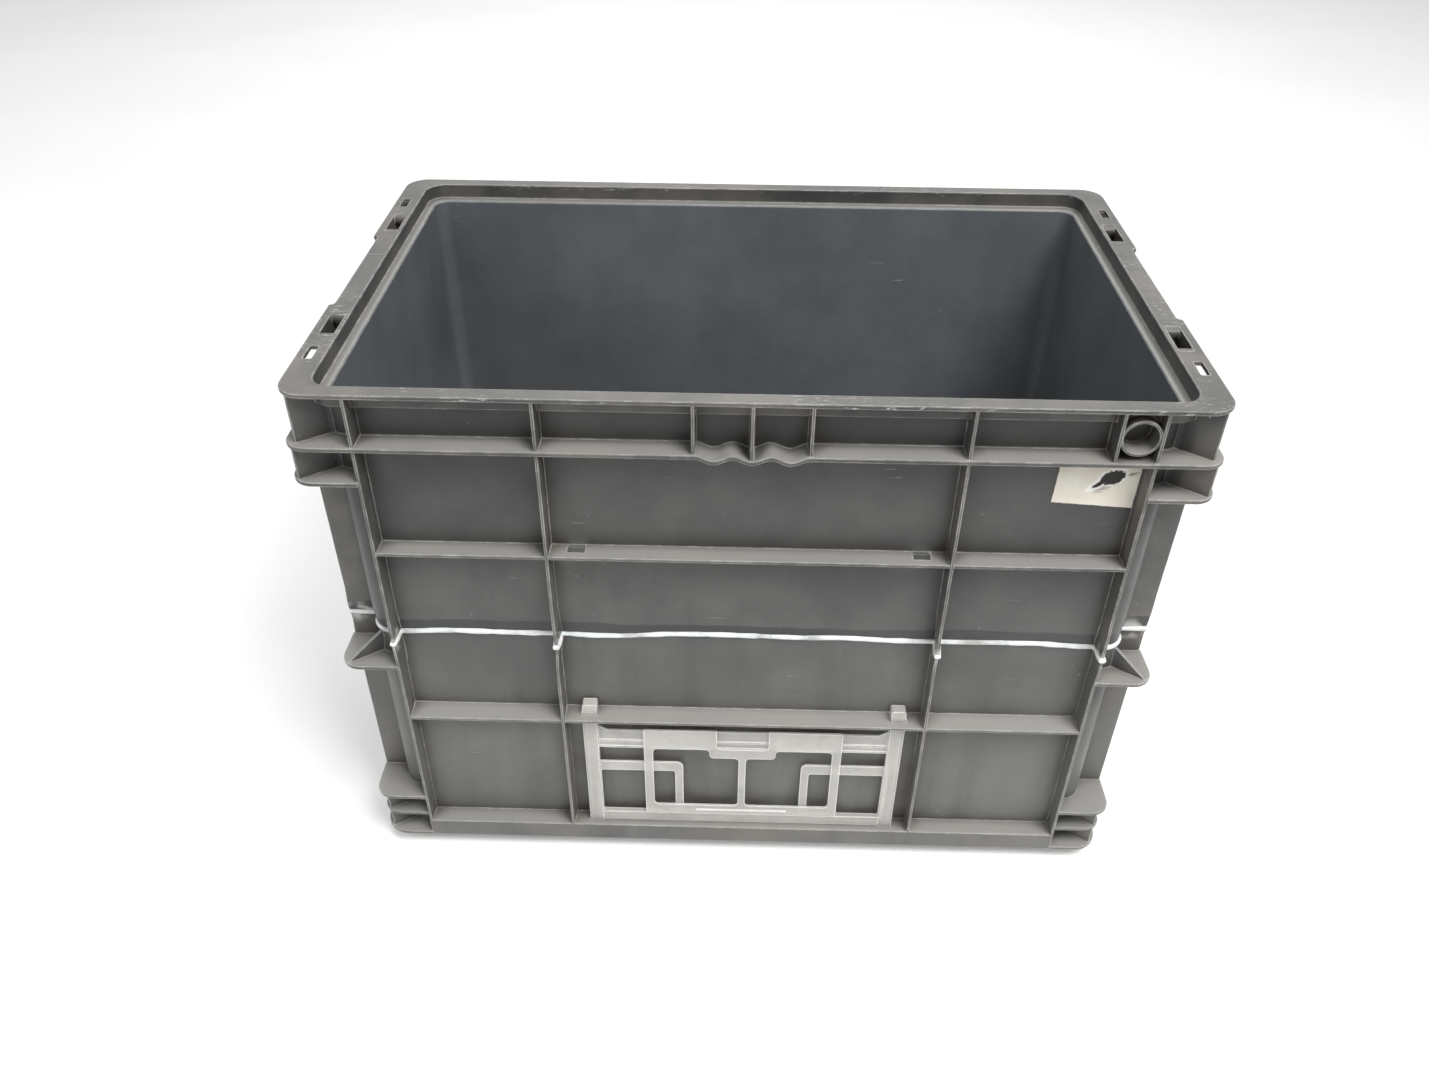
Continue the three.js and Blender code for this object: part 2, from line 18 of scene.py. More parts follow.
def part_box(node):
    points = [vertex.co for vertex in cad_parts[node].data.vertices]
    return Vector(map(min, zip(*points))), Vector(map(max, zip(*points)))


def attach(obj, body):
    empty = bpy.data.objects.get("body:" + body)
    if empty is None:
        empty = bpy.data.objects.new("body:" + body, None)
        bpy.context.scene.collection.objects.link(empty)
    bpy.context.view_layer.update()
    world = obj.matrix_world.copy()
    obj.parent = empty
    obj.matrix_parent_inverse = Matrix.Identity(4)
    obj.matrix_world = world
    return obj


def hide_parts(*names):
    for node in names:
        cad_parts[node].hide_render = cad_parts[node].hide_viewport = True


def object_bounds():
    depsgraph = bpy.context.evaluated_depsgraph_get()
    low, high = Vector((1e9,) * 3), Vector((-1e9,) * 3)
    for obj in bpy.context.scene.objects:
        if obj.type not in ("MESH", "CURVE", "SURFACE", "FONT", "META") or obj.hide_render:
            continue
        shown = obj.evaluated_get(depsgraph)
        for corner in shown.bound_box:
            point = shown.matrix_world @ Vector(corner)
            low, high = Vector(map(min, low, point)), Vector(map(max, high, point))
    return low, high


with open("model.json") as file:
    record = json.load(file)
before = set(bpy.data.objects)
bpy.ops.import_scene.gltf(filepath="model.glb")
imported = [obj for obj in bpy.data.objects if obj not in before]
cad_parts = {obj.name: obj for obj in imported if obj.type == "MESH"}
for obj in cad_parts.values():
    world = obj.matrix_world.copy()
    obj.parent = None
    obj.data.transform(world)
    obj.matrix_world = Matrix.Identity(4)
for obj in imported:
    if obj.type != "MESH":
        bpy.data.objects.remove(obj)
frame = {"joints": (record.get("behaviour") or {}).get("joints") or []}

cad_low, cad_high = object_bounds()
print("CAD box:", [round(v, 4) for v in (*cad_low, *cad_high)])

# %% [markdown]
# ## The camera first
# A wide lens close to the crate, held above the rim and tilted down, gives the strong taper of
# the walls towards the floor. Pitch, roll and heading are kept as three plain angles.

# %% Camera
CAMERA_PLACE = (-0.0110, -0.8177, 0.8099)
CAMERA_PITCH = 53.01
CAMERA_ROLL = -0.40
CAMERA_HEADING = 1.45
CAMERA_LENS = 29.36

camera_data = bpy.data.cameras.new("camera")
camera_data.sensor_width = 36
camera_data.lens = CAMERA_LENS
camera_data.clip_start = 0.02
camera = bpy.data.objects.new("camera", camera_data)
camera.location = CAMERA_PLACE
camera.rotation_euler = [math.radians(a) for a in (CAMERA_PITCH, CAMERA_ROLL, CAMERA_HEADING)]
bpy.context.scene.collection.objects.link(camera)
bpy.context.scene.camera = camera
print("camera", CAMERA_PLACE)

# %% [markdown]
# ## Sizes
# The frame gives the outer box of each piece. The rest are the mould's own sizes: plan outlines
# as half length, half width and corner radius, and levels above the base. One outline is shared
# by all that touches it, so a change moves the wall, the fins and the bead together.

# %% Sizes
Outline = namedtuple("Outline", "x y r")

SIDES = ("front", "back", "left", "right")
UPPER_NODES = ["upper_" + side for side in SIDES]
LOWER_NODES = ["lower_" + side for side in SIDES] + ["floor_panel"]
bead_low, bead_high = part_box("weld_bead")

HEIGHT = cad_high.z
WELD = (bead_low.z + bead_high.z) / 2
BEAD_HALF = (bead_high.z - bead_low.z) / 2
LOWER_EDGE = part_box("lower_front")[1].z
UPPER_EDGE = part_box("upper_front")[0].z
WALL = 0.003
PLATE = 0.003
FIN = 0.0025
RIB = 0.0025
RIB_SETBACK = 0.0004

BODY = Outline(0.2792, 0.1724, 0.014)
INNER = Outline(BODY.x - WALL, BODY.y - WALL, BODY.r - WALL)
ROOT = Outline(BODY.x - 0.001, BODY.y - 0.001, BODY.r - 0.001)
FOOT = Outline(0.2818, 0.1753, 0.015)
POCKET = Outline(FOOT.x - 0.012, FOOT.y - 0.012, 0.005)
RECESS = Outline(0.2833, 0.1768, 0.015)
RECESS_WALL = Outline(RECESS.x + 0.0027, RECESS.y + 0.0027, 0.0177)
RIM = Outline(0.3028, 0.1893, 0.018)
BAND = Outline(cad_high.x, cad_high.y, 0.015)
TIER_D = Outline(0.3024, 0.1888, 0.015)
TIER_F = Outline(0.3012, 0.1877, 0.015)
TIER_G = Outline(0.2985, 0.1850, 0.014)
BASE = Outline(0.3002, 0.1872, 0.020)

FLOOR_TOP = 0.0055
FOOT_TOP = 0.0134
BASE_LOW = 0.0128
BASE_CORNER_TOP = 0.016
BASE_TOP = 0.0305
TIER_G_TOP = 0.038
TIER_F_TOP = 0.0605
RIB_G_TOP = 0.156
TIER_D_TOP = 0.207
RIB_E_TOP = 0.314
TIER_C_TOP = 0.374
BAND_TOP = 0.401
LEDGE_TOP = HEIGHT - 0.0117
LEDGE_LOW = LEDGE_TOP - PLATE

LONG_END = 0.2588
SHORT_END = 0.150
LONG_FINS = (-LONG_END, -0.1396, 0.1396, LONG_END)
SHORT_FINS = (-SHORT_END, -0.062, 0.062, SHORT_END)
SHORT_EXTRA = 0.1134
BAND_FINS = (-0.038, 0, 0.038)
FIN_REACH_BASE, FIN_REACH_TOP = 0.1868, 0.189
NOTCH = (0.1138, 0.1260, 0.1728, 0.1818)
CORNERS = [(sx, sy) for sx in (-1, 1) for sy in (-1, 1)]
print("height", round(HEIGHT, 4), "weld at", round(WELD, 4))

# %% [markdown]
# ## Turning a bmesh into a piece
# Every new piece is one mesh object at the origin, with its place in its vertices. Temporary
# solids for joining and cutting are removed as soon as they are used. The bevel operator's
# defaults differ from the editor's, so one helper gives them all.

# %% From bmesh to object
def made(name, bm):
    bmesh.ops.recalc_face_normals(bm, faces=bm.faces[:])
    mesh = bpy.data.meshes.new(name)
    bm.to_mesh(mesh)
    bm.free()
    obj = bpy.data.objects.new(name, mesh)
    bpy.context.scene.collection.objects.link(obj)
    return obj


def beveled(bm, geom, offset, segments, affect="VERTICES"):
    bmesh.ops.bevel(
        bm, geom=geom, offset=offset, offset_type="OFFSET", segments=segments,
        profile=0.5, affect=affect, clamp_overlap=affect == "EDGES", material=-1,
    )


def thickened(bm, shift):
    """Extrudes a flat face into a plate."""
    grown = bmesh.ops.extrude_face_region(bm, geom=bm.faces[:])["geom"]
    moved = [g for g in grown if isinstance(g, bmesh.types.BMVert)]
    bmesh.ops.translate(bm, vec=shift, verts=moved)
    return moved


def baked(obj):
    """Puts the result of the object's modifiers into its own mesh."""
    graph = bpy.context.evaluated_depsgraph_get()
    mesh = bpy.data.meshes.new_from_object(obj.evaluated_get(graph))
    old = obj.data
    obj.modifiers.clear()
    obj.data = mesh
    bpy.data.meshes.remove(old)
    return obj


def combine(obj, tool, operation):
    step = obj.modifiers.new("combine", "BOOLEAN")
    step.operation = operation
    step.solver = "MANIFOLD"
    step.object = tool
    baked(obj)
    bpy.data.objects.remove(tool)
    return obj


def gathered(name, meshes):
    """One object from several closed solids that don't touch each other."""
    whole = bmesh.new()
    for bm in meshes:
        bmesh.ops.recalc_face_normals(bm, faces=bm.faces[:])
        mesh = bpy.data.meshes.new("part")
        bm.to_mesh(mesh)
        bm.free()
        whole.from_mesh(mesh)
        bpy.data.meshes.remove(mesh)
    return made(name, whole)


print("helpers ready")

# %% [markdown]
# ## A wall that follows a rounded rectangle
# The shells are the same section all the way round, so one ring of edges is extruded from level
# to level, like a lathe that turns round a rectangle instead of an axis. Each corner of the
# section is softened into a short curve first, because a moulded edge is never sharp: that is
# where the bright lines on the rim come from.

# %% Ring loft
Level = namedtuple("Level", "x y r z soft")
ARC_STEPS = 12
SOFT_STEPS = 3


def level(outline, z, soft=0.0006):
    return Level(*outline, z, soft)


def softened(levels, closed):
    """Rounds each corner of a section, and keeps the ends of an open one."""
    points = []
    count = len(levels)
    for i, here in enumerate(levels):
        if not closed and i in (0, count - 1):
            points.append(Vector(here[:4]))
            continue
        corner = Vector(here[:4])
        arms = []
        for other in (levels[i - 1], levels[(i + 1) % count]):
            arm = Vector(other[:4]) - corner
            length = math.hypot(max(abs(arm[0]), abs(arm[1])), arm[3])
            arms.append(arm * min(here.soft / length, 0.45))
        for step in range(SOFT_STEPS + 1):
            t = step / SOFT_STEPS
            points.append(corner + arms[0] * (1 - t) ** 2 + arms[1] * t**2)
    return points


def first_ring(bm, point):
    x, y, r, z = point
    corners = [bm.verts.new((sx * x, sy * y, z)) for sx, sy in ((-1, -1), (1, -1), (1, 1), (-1, 1))]
    bm.faces.new(corners)
    beveled(bm, corners, r, ARC_STEPS)
    return list(bm.edges)


def next_ring(bm, edges, old, new):
    """Extrudes a ring of edges and slides it from one outline to the next."""
    grown = bmesh.ops.extrude_edge_only(bm, edges=edges)["geom"]
    for v in (g for g in grown if isinstance(g, bmesh.types.BMVert)):
        sx, sy = math.copysign(1, v.co.x), math.copysign(1, v.co.y)
        arm_x = (v.co.x - sx * (old[0] - old[2])) * new[2] / old[2]
        arm_y = (v.co.y - sy * (old[1] - old[2])) * new[2] / old[2]
        v.co = (sx * (new[0] - new[2]) + arm_x, sy * (new[1] - new[2]) + arm_y, new[3])
    return [g for g in grown if isinstance(g, bmesh.types.BMEdge)]


def loft(levels, closed=True):
    """A closed section makes a ring, and an open one a solid with flat ends."""
    points = softened(levels, closed)
    bm = bmesh.new()
    edges = first_ring(bm, points[0])
    if closed:
        bmesh.ops.delete(bm, geom=bm.faces[:], context="FACES_ONLY")
    for old, new in zip(points, points[1:]):
        edges = next_ring(bm, edges, old, new)
    if closed:
        edges = next_ring(bm, edges, points[-1], points[0])
        bmesh.ops.remove_doubles(bm, verts=bm.verts[:], dist=1e-6)
    else:
        bmesh.ops.holes_fill(bm, edges=edges, sides=0)
    return bm


def slab(outline, low, high, soft=0.0):
    inset = Outline(outline.x - 0.002, outline.y - 0.002, outline.r - 0.002)
    if not soft:
        return loft([level(outline, low), level(outline, high)], closed=False)
    return loft([
        level(inset, low), level(outline, low, soft), level(outline, high, soft), level(inset, high),
    ], closed=False)


print("loft: arc steps", ARC_STEPS)

# %% [markdown]
# ## Blocks with eased edges
# Fins, ribs and bars are blocks. The edges of each are beveled before it is joined to the wall,
# so its free edges catch the light, and the join itself stays a clean line.

# %% Blocks
EASE = 0.0004


def ease(bm, amount=EASE):
    beveled(bm, bm.edges[:], amount, 2, "EDGES")
    return bm


def block(x0, x1, y0, y1, z0, z1, amount=EASE):
    bm = bmesh.new()
    bmesh.ops.create_cube(bm, size=1)
    size = (abs(x1 - x0), abs(y1 - y0), abs(z1 - z0))
    bmesh.ops.scale(bm, vec=size, verts=bm.verts[:])
    bmesh.ops.translate(bm, vec=((x0 + x1) / 2, (y0 + y1) / 2, (z0 + z1) / 2), verts=bm.verts[:])
    return ease(bm, amount) if amount else bm


def fin_reach(z):
    """The fins' outer edges lean in towards the base, as the mould's draft makes them."""
    return FIN_REACH_BASE + (FIN_REACH_TOP - FIN_REACH_BASE) * z / HEIGHT


TURNS = {"front": -90, "back": 90, "right": 0, "left": 180}
FIN_ROOT = 0.0015
FIN_TIP = 0.0011


def fin(side, place, z0, z1):
    """An upright fin, a little thicker at the wall than at its edge."""
    along = side in ("front", "back")
    root = ROOT.y if along else ROOT.x
    extra = 0 if along else SHORT_EXTRA
    bm = bmesh.new()
    bmesh.ops.create_cube(bm, size=2)
    for v in bm.verts:
        z = z0 if v.co.z < 0 else z1
        outside = v.co.x > 0
        half = FIN_TIP if outside else FIN_ROOT
        v.co = (fin_reach(z) + extra if outside else root, half * v.co.y, z)
    ease(bm)
    bmesh.ops.rotate(bm, matrix=Matrix.Rotation(math.radians(TURNS[side]), 3, "Z"), verts=bm.verts[:])
    bmesh.ops.translate(bm, vec=(place, 0, 0) if along else (0, place, 0), verts=bm.verts[:])
    return bm


def clear_of_recess(name, fins):
    """Fins start outside the wider wall of the stacking recess."""
    outside = Outline(RECESS.x + 0.0012, RECESS.y + 0.0012, RECESS.r + 0.0012)
    keep_out = made("recess", slab(outside, LEDGE_LOW + 0.0015, HEIGHT + 0.1))
    return combine(gathered(name, fins), keep_out, "DIFFERENCE")


def main_fins(z0, z1):
    fins = [fin(side, x, z0, z1) for side in ("front", "back") for x in LONG_FINS]
    fins += [fin(side, y, z0, z1) for side in ("left", "right") for y in SHORT_FINS]
    return fins


print("blocks ready")

# %% [markdown]
# ## Ribs, corner tiers and webs
# The ribs run level between the end fins, and two notches in each long rib take the posts of a
# label holder. The corner tiers are small shelves in the corner bays, and a diagonal web stands
# on them. Each tier is a quad whose outer corner is beveled round before it gets its thickness.

# %% Ribs
def ribs(top):
    low = top - RIB
    reach = fin_reach(top) - RIB_SETBACK
    near, far, notch_from, notch_to = NOTCH
    solids = gathered("ribs", [
        *[block(-LONG_END, LONG_END, sy * ROOT.y, sy * reach, low, top) for sy in (-1, 1)],
        *[block(sx * ROOT.x, sx * (reach + SHORT_EXTRA), -SHORT_END, SHORT_END, low, top) for sx in (-1, 1)],
    ])
    notches = gathered("notches", [
        block(sx * near, sx * far, sy * notch_from, sy * notch_to, low - 0.005, top + 0.005, 0)
        for sx, sy in CORNERS
    ])
    return combine(solids, notches, "DIFFERENCE")


# %% Corner tiers
def corner_plate(sx, sy, outline, low, top):
    bm = bmesh.new()
    points = [(LONG_END, SHORT_END), (outline.x, SHORT_END), (outline.x, outline.y), (LONG_END, outline.y)]
    corners = [bm.verts.new((sx * x, sy * y, low)) for x, y in points]
    bm.faces.new(corners)
    beveled(bm, [corners[2]], outline.r, ARC_STEPS)
    thickened(bm, (0, 0, top - low))
    return ease(bm)


def corner_tiers(tiers):
    plates = [
        corner_plate(sx, sy, outline, top - PLATE, top)
        for outline, top in tiers for sx, sy in CORNERS
    ]
    return combine(gathered("tiers", plates), made("cut", slab(ROOT, -0.1, 0.6)), "DIFFERENCE")


def arc_middle(outline):
    inset = outline.r * (1 - math.sqrt(0.5))
    return Vector((outline.x - inset, outline.y - inset))


def corner_webs(outline, z0, z1, drop=0.0):
    """Four upright webs on the corners' diagonals. A drop slopes their tops down outwards."""
    start = arc_middle(ROOT)
    end = arc_middle(outline) - Vector((1, 1)) * 0.0007
    run = end - start
    webs = []
    for sx, sy in CORNERS:
        bm = block(0, run.length, -FIN / 2, FIN / 2, z0, z1, 0)
        for v in bm.verts:
            if v.co.x > run.length / 2 and v.co.z > (z0 + z1) / 2:
                v.co.z -= drop
        ease(bm, 0.0003)
        turn = Matrix.Rotation(math.atan2(sy * run.y, sx * run.x), 3, "Z")
        bmesh.ops.rotate(bm, matrix=turn, verts=bm.verts[:])
        bmesh.ops.translate(bm, vec=(sx * start.x, sy * start.y, 0), verts=bm.verts[:])
        webs.append(bm)
    return webs


print("ribs, tiers and webs ready")

# %% [markdown]
# ## Heat and hands
# The hot plate softened both cut edges, so the walls and fins wander a little near the weld, and
# the weld itself bows up between the fins. Cutting the mesh with planes there gives the vertices
# that a slow noise can move. The same drift moves both shells and the bead, so they still meet.

# %% Drift near the weld
DRIFT_REACH = 0.040
DRIFT_RISE = 0.0013
DRIFT_SIDE = 0.0034
MIDDLE_BOW = 0.0028
END_BOW = 0.0016
DRIFT_LEVELS = (0.004, 0.008, 0.014, 0.022, 0.032)


def drift(co):
    near = max(0.0, 1 - abs(co.z - WELD) / DRIFT_REACH)
    if not near:
        return Vector()
    near = near * near * (3 - 2 * near)
    spot = Vector((co.x * 14, co.y * 14, 0.3))
    rise = noise.noise(spot) * DRIFT_RISE
    middle, edge = LONG_FINS[2], LONG_END
    if abs(co.x) < middle:
        bow = MIDDLE_BOW * math.cos(co.x * math.pi / (2 * middle))
    else:
        bow = END_BOW * math.sin(min(abs(co.x) - middle, edge - middle) * math.pi / (edge - middle))
    side = noise.noise(spot * 1.7 + Vector((5, 2, 1 + co.z * 34))) * DRIFT_SIDE
    return Vector((side, side * 0.5, rise + bow)) * near


def divided(bm, axis, places):
    normal = Vector([1.0 if i == axis else 0.0 for i in range(3)])
    for place in places:
        bmesh.ops.bisect_plane(
            bm, geom=bm.verts[:] + bm.edges[:] + bm.faces[:], dist=1e-6,
            plane_co=normal * place, plane_no=normal,
        )


def drifted(obj, levels):
    bm = bmesh.new()
    bm.from_mesh(obj.data)
    divided(bm, 2, levels)
    divided(bm, 0, [i * 0.031 for i in range(-9, 10)])
    divided(bm, 1, [i * 0.034 for i in range(-5, 6)])
    for v in bm.verts:
        v.co += drift(v.co)
    bm.to_mesh(obj.data)
    bm.free()
    return obj


def finished(obj, material, body, nodes):
    """The last steps of each piece: finish, soft shading, and its place in the frame."""
    obj.data.materials.clear()
    obj.data.materials.append(material)
    obj.data.shade_smooth()
    obj.data.set_sharp_from_angle(angle=math.radians(28))
    weights = obj.modifiers.new("weighted normals", "WEIGHTED_NORMAL")
    weights.keep_sharp = True
    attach(obj, body)
    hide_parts(*nodes)
    print(obj.name, len(obj.data.polygons), "faces")
    return obj


print("drift: reach", DRIFT_REACH)

# %% [markdown]
# ## Materials: small helpers
# A node tree is easier to read as a recipe. Each helper adds one node, links what it is given
# and returns the output to use next. All patterns read Object coordinates, in metres.

# %% Node helpers
class Recipe:
    def __init__(self, name):
        self.material = bpy.data.materials.new(name)
        self.material.use_nodes = True
        self.tree = self.material.node_tree
        self.shader = self.tree.nodes["Principled BSDF"]
        self.place = self.add("ShaderNodeTexCoord").outputs["Object"]

    def add(self, kind, **settings):
        node = self.tree.nodes.new(kind)
        for key, value in settings.items():
            setattr(node, key, value)
        return node

    def feed(self, socket, value):
        if isinstance(value, bpy.types.NodeSocket):
            self.tree.links.new(value, socket)
        else:
            socket.default_value = value

    def stretched(self, scale, turn=(0, 0, 0)):
        node = self.add("ShaderNodeMapping")
        self.feed(node.inputs["Vector"], self.place)
        node.inputs["Scale"].default_value = scale
        node.inputs["Rotation"].default_value = [math.radians(a) for a in turn]
        return node.outputs["Vector"]

    def noise(self, scale, detail=4.0, rough=0.55, where=None):
        node = self.add("ShaderNodeTexNoise")
        self.feed(node.inputs["Vector"], where or self.place)
        node.inputs["Scale"].default_value = scale
        node.inputs["Detail"].default_value = detail
        node.inputs["Roughness"].default_value = rough
        return node.outputs["Fac"]

    def fit(self, value, low, high, to_low=0.0, to_high=1.0):
        node = self.add("ShaderNodeMapRange", clamp=True)
        node.interpolation_type = "SMOOTHSTEP"
        for socket, given in zip(node.inputs, (value, low, high, to_low, to_high)):
            self.feed(socket, given)
        return node.outputs["Result"]

    def math(self, operation, first, second=0.0):
        node = self.add("ShaderNodeMath", operation=operation)
        self.feed(node.inputs[0], first)
        self.feed(node.inputs[1], second)
        return node.outputs["Value"]

    def times(self, *values):
        result = values[0]
        for value in values[1:]:
            result = self.math("MULTIPLY", result, value)
        return result

    def mix(self, amount, first, second):
        node = self.add("ShaderNodeMix", data_type="RGBA")
        self.feed(node.inputs["Factor"], amount)
        for socket, value in zip((node.inputs[6], node.inputs[7]), (first, second)):
            self.feed(socket, value if isinstance(value, bpy.types.NodeSocket) else (*value, 1.0))
        return node.outputs[2]

    def axis(self, name):
        node = self.add("ShaderNodeSeparateXYZ")
        self.feed(node.inputs[0], self.place)
        return node.outputs[name]

    def facing_up(self):
        geometry = self.add("ShaderNodeNewGeometry")
        split = self.add("ShaderNodeSeparateXYZ")
        self.feed(split.inputs[0], geometry.outputs["Normal"])
        return self.fit(split.outputs["Z"], 0.55, 0.95)

    def facing_out(self):
        """1 where the surface looks away from the object's middle, seen from above."""
        flat = self.stretched((1, 1, 0))
        geometry = self.add("ShaderNodeNewGeometry")
        dot = self.add("ShaderNodeVectorMath", operation="DOT_PRODUCT")
        self.feed(dot.inputs[0], flat)
        self.feed(dot.inputs[1], geometry.outputs["Normal"])
        return self.fit(dot.outputs["Value"], 0.02, 0.06)

    def edges(self, radius):
        """1 on outside edges: where a rounded normal leaves the true one."""
        geometry = self.add("ShaderNodeNewGeometry")
        bevel = self.add("ShaderNodeBevel", samples=4)
        bevel.inputs["Radius"].default_value = radius
        dot = self.add("ShaderNodeVectorMath", operation="DOT_PRODUCT")
        self.feed(dot.inputs[0], bevel.outputs["Normal"])
        self.feed(dot.inputs[1], geometry.outputs["Normal"])
        return self.fit(dot.outputs["Value"], 0.995, 0.86)

    def bump(self, height, distance, strength=1.0, normal=None):
        node = self.add("ShaderNodeBump")
        self.feed(node.inputs["Height"], height)
        node.inputs["Distance"].default_value = distance
        node.inputs["Strength"].default_value = strength
        if normal:
            self.feed(node.inputs["Normal"], normal)
        return node.outputs["Normal"]

    def finish(self, **sockets):
        for name, value in sockets.items():
            self.feed(self.shader.inputs[name.replace("_", " ")], value)
        return self.material


print("recipe helpers ready")

# %% [markdown]
# ## Slate-grey polypropylene
# Fresh polypropylene is an even satin grey. Years of use add dust on whatever faces up, brown
# stain in the inner corners, pale scuffs and short scratches on the outer edges, and slow
# streaks down the walls. Light and shade are painted in as well: the up-facing faces get a
# painted top light, the inner corners painted shade, the outer edges a painted highlight, and
# the outer walls painted bounce light that grows towards the foot. A strip just above the weld
# was melted smooth and is darker. Ambient occlusion finds the inner corners and a rounded normal
# the edges, so no mask is painted.

# %% Grey plastic
# Some of these colours also stand for painted light: the pale foot grey is painted bounce light, the dust
# grey is also a painted top light, the brown is also painted corner shade, and the scuff white is also a
# painted edge highlight.
SLATE_DARK = (0.082, 0.090, 0.098)
SLATE_LIGHT = (0.104, 0.113, 0.121)
WARM_DARK = (0.036, 0.038, 0.038)
WARM_LIGHT = (0.056, 0.057, 0.055)
BOUNCE_LIGHT_GREY = (0.172, 0.170, 0.163)
DUST_AND_TOP_LIGHT = (0.335, 0.325, 0.305)
BROWN_STAIN_AND_SHADE = (0.052, 0.040, 0.029)
SCUFF_AND_HIGHLIGHT = (0.64, 0.63, 0.60)


def scratches(r, turn, scale, rarity):
    lines = r.noise(1.0, 2.0, 0.6, r.stretched((scale, scale * 14, scale * 14), turn))
    patches = r.noise(17.0, 3.0)
    return r.times(r.fit(lines, rarity, rarity + 0.03), r.fit(patches, 0.52, 0.70))


def grey_plastic():
    r = Recipe("grey polypropylene")
    up = r.facing_up()
    height = r.axis("Z")
    depth = r.math("MAXIMUM",
                   r.math("SUBTRACT", r.math("ABSOLUTE", r.axis("Y")), BODY.y),
                   r.math("SUBTRACT", r.math("ABSOLUTE", r.axis("X")), BODY.x))
    outside = r.math("MAXIMUM", r.fit(depth, -0.0024, -0.0008), r.facing_out())
    on_fin = r.fit(depth, 0.002, 0.006)
    cloud = r.fit(r.noise(6.0, 6.0, 0.6), 0.30, 0.72)
    streaks = r.fit(r.noise(1.0, 5.0, 0.6, r.stretched((30, 30, 2.4))), 0.40, 0.75, 0.0, 0.5)
    inner = r.mix(cloud, SLATE_DARK, SLATE_LIGHT)
    # Painted bounce light: the outer colour turns lighter towards the foot, standing in for light from the
    # pale floor.
    painted_bounce_light = r.times(r.fit(height, 0.42, 0.04), r.fit(cloud, 0.0, 1.0, 0.60, 0.80))
    outer = r.mix(painted_bounce_light, r.mix(cloud, WARM_DARK, WARM_LIGHT), BOUNCE_LIGHT_GREY)
    color = r.mix(outside, r.mix(streaks, inner, SLATE_LIGHT), r.mix(streaks, outer, WARM_LIGHT))

    # Brown stain in the inner corners, together with painted corner shade: ambient occlusion darkens the
    # outside's corners towards brown, and further down it keeps dust out of them.
    shade = r.add("ShaderNodeAmbientOcclusion", samples=6)
    shade.inputs["Distance"].default_value = 0.014
    corner = r.fit(shade.outputs["AO"], 0.82, 0.34)
    stain = r.times(corner, r.fit(r.noise(26.0, 5.0), 0.28, 0.58), 0.75)
    color = r.mix(r.times(stain, outside), color, BROWN_STAIN_AND_SHADE)
    rubbed = r.times(on_fin, r.fit(r.noise(19.0, 4.0), 0.40, 0.66), 0.42)
    color = r.mix(rubbed, color, (0.180, 0.160, 0.135))

    wander = r.times(r.noise(9.0, 3.0), 0.010)
    above = r.math("SUBTRACT", r.math("SUBTRACT", height, WELD), wander)
    strip = r.times(r.fit(above, 0.0075, 0.0060), r.fit(height, WELD - 0.001, WELD + 0.001))
    color = r.mix(r.times(strip, outside, 0.85), color, (0.030, 0.031, 0.031))

    # Dust on whatever faces up, with a painted top light: every up-facing face is lightened towards pale
    # grey, dusty or not, less so on the rim and in shaded corners.
    film = r.times(r.fit(r.noise(12.0, 6.0, 0.65), 0.34, 0.66), r.fit(up, 0.0, 1.0, 0.05, 0.55))
    dust_and_top_light = r.math("MAXIMUM", film, r.times(up, 0.66))
    on_rim = r.fit(height, HEIGHT - 0.004, HEIGHT - 0.002)
    dust_and_top_light = r.times(dust_and_top_light, r.fit(on_rim, 0.0, 1.0, 1.0, 0.34))
    color = r.mix(r.times(dust_and_top_light, r.fit(corner, 0.0, 1.0, 1.0, 0.25)), color, DUST_AND_TOP_LIGHT)
    specks = r.times(r.fit(r.noise(300.0, 2.0), 0.70, 0.76), r.fit(r.noise(13.0, 3.0), 0.52, 0.66))
    color = r.mix(r.times(specks, 0.22), color, SCUFF_AND_HIGHLIGHT)

    # Pale edge wear with a painted edge highlight: every outer edge is lightened at least a third of the
    # way, worn or not.
    worn = r.edges(0.0016)
    chipped = r.fit(r.noise(70.0, 5.0, 0.7), 0.42, 0.62)
    wear_and_edge_highlight = r.times(worn, r.fit(chipped, 0.0, 1.0, 0.46, 1.0))
    from_weld = r.math("ABSOLUTE", r.math("SUBTRACT", height, WELD))
    stress = r.times(r.fit(from_weld, 0.013, 0.002), on_fin, r.fit(r.noise(85.0, 4.0), 0.42, 0.60), 0.7)
    long_lines = scratches(r, (0, 0, 24), 30.0, 0.72)
    lines = r.math("MAXIMUM", long_lines, scratches(r, (0, 35, -50), 34.0, 0.73))
    strokes = r.noise(1.0, 4.0, 0.7, r.stretched((120, 700, 300), (0, 0, 14)))
    rasped = r.times(on_rim, r.fit(strokes, 0.56, 0.70))
    rasped = r.times(rasped, r.fit(r.noise(14.0, 4.0), 0.44, 0.62), 0.75)
    marks_and_edge_highlight = r.math("MAXIMUM", r.times(wear_and_edge_highlight, 0.78), r.times(lines, 0.26))
    marks_and_edge_highlight = r.math("MAXIMUM", marks_and_edge_highlight, r.math("MAXIMUM", stress, rasped))
    color = r.mix(marks_and_edge_highlight, color, SCUFF_AND_HIGHLIGHT)

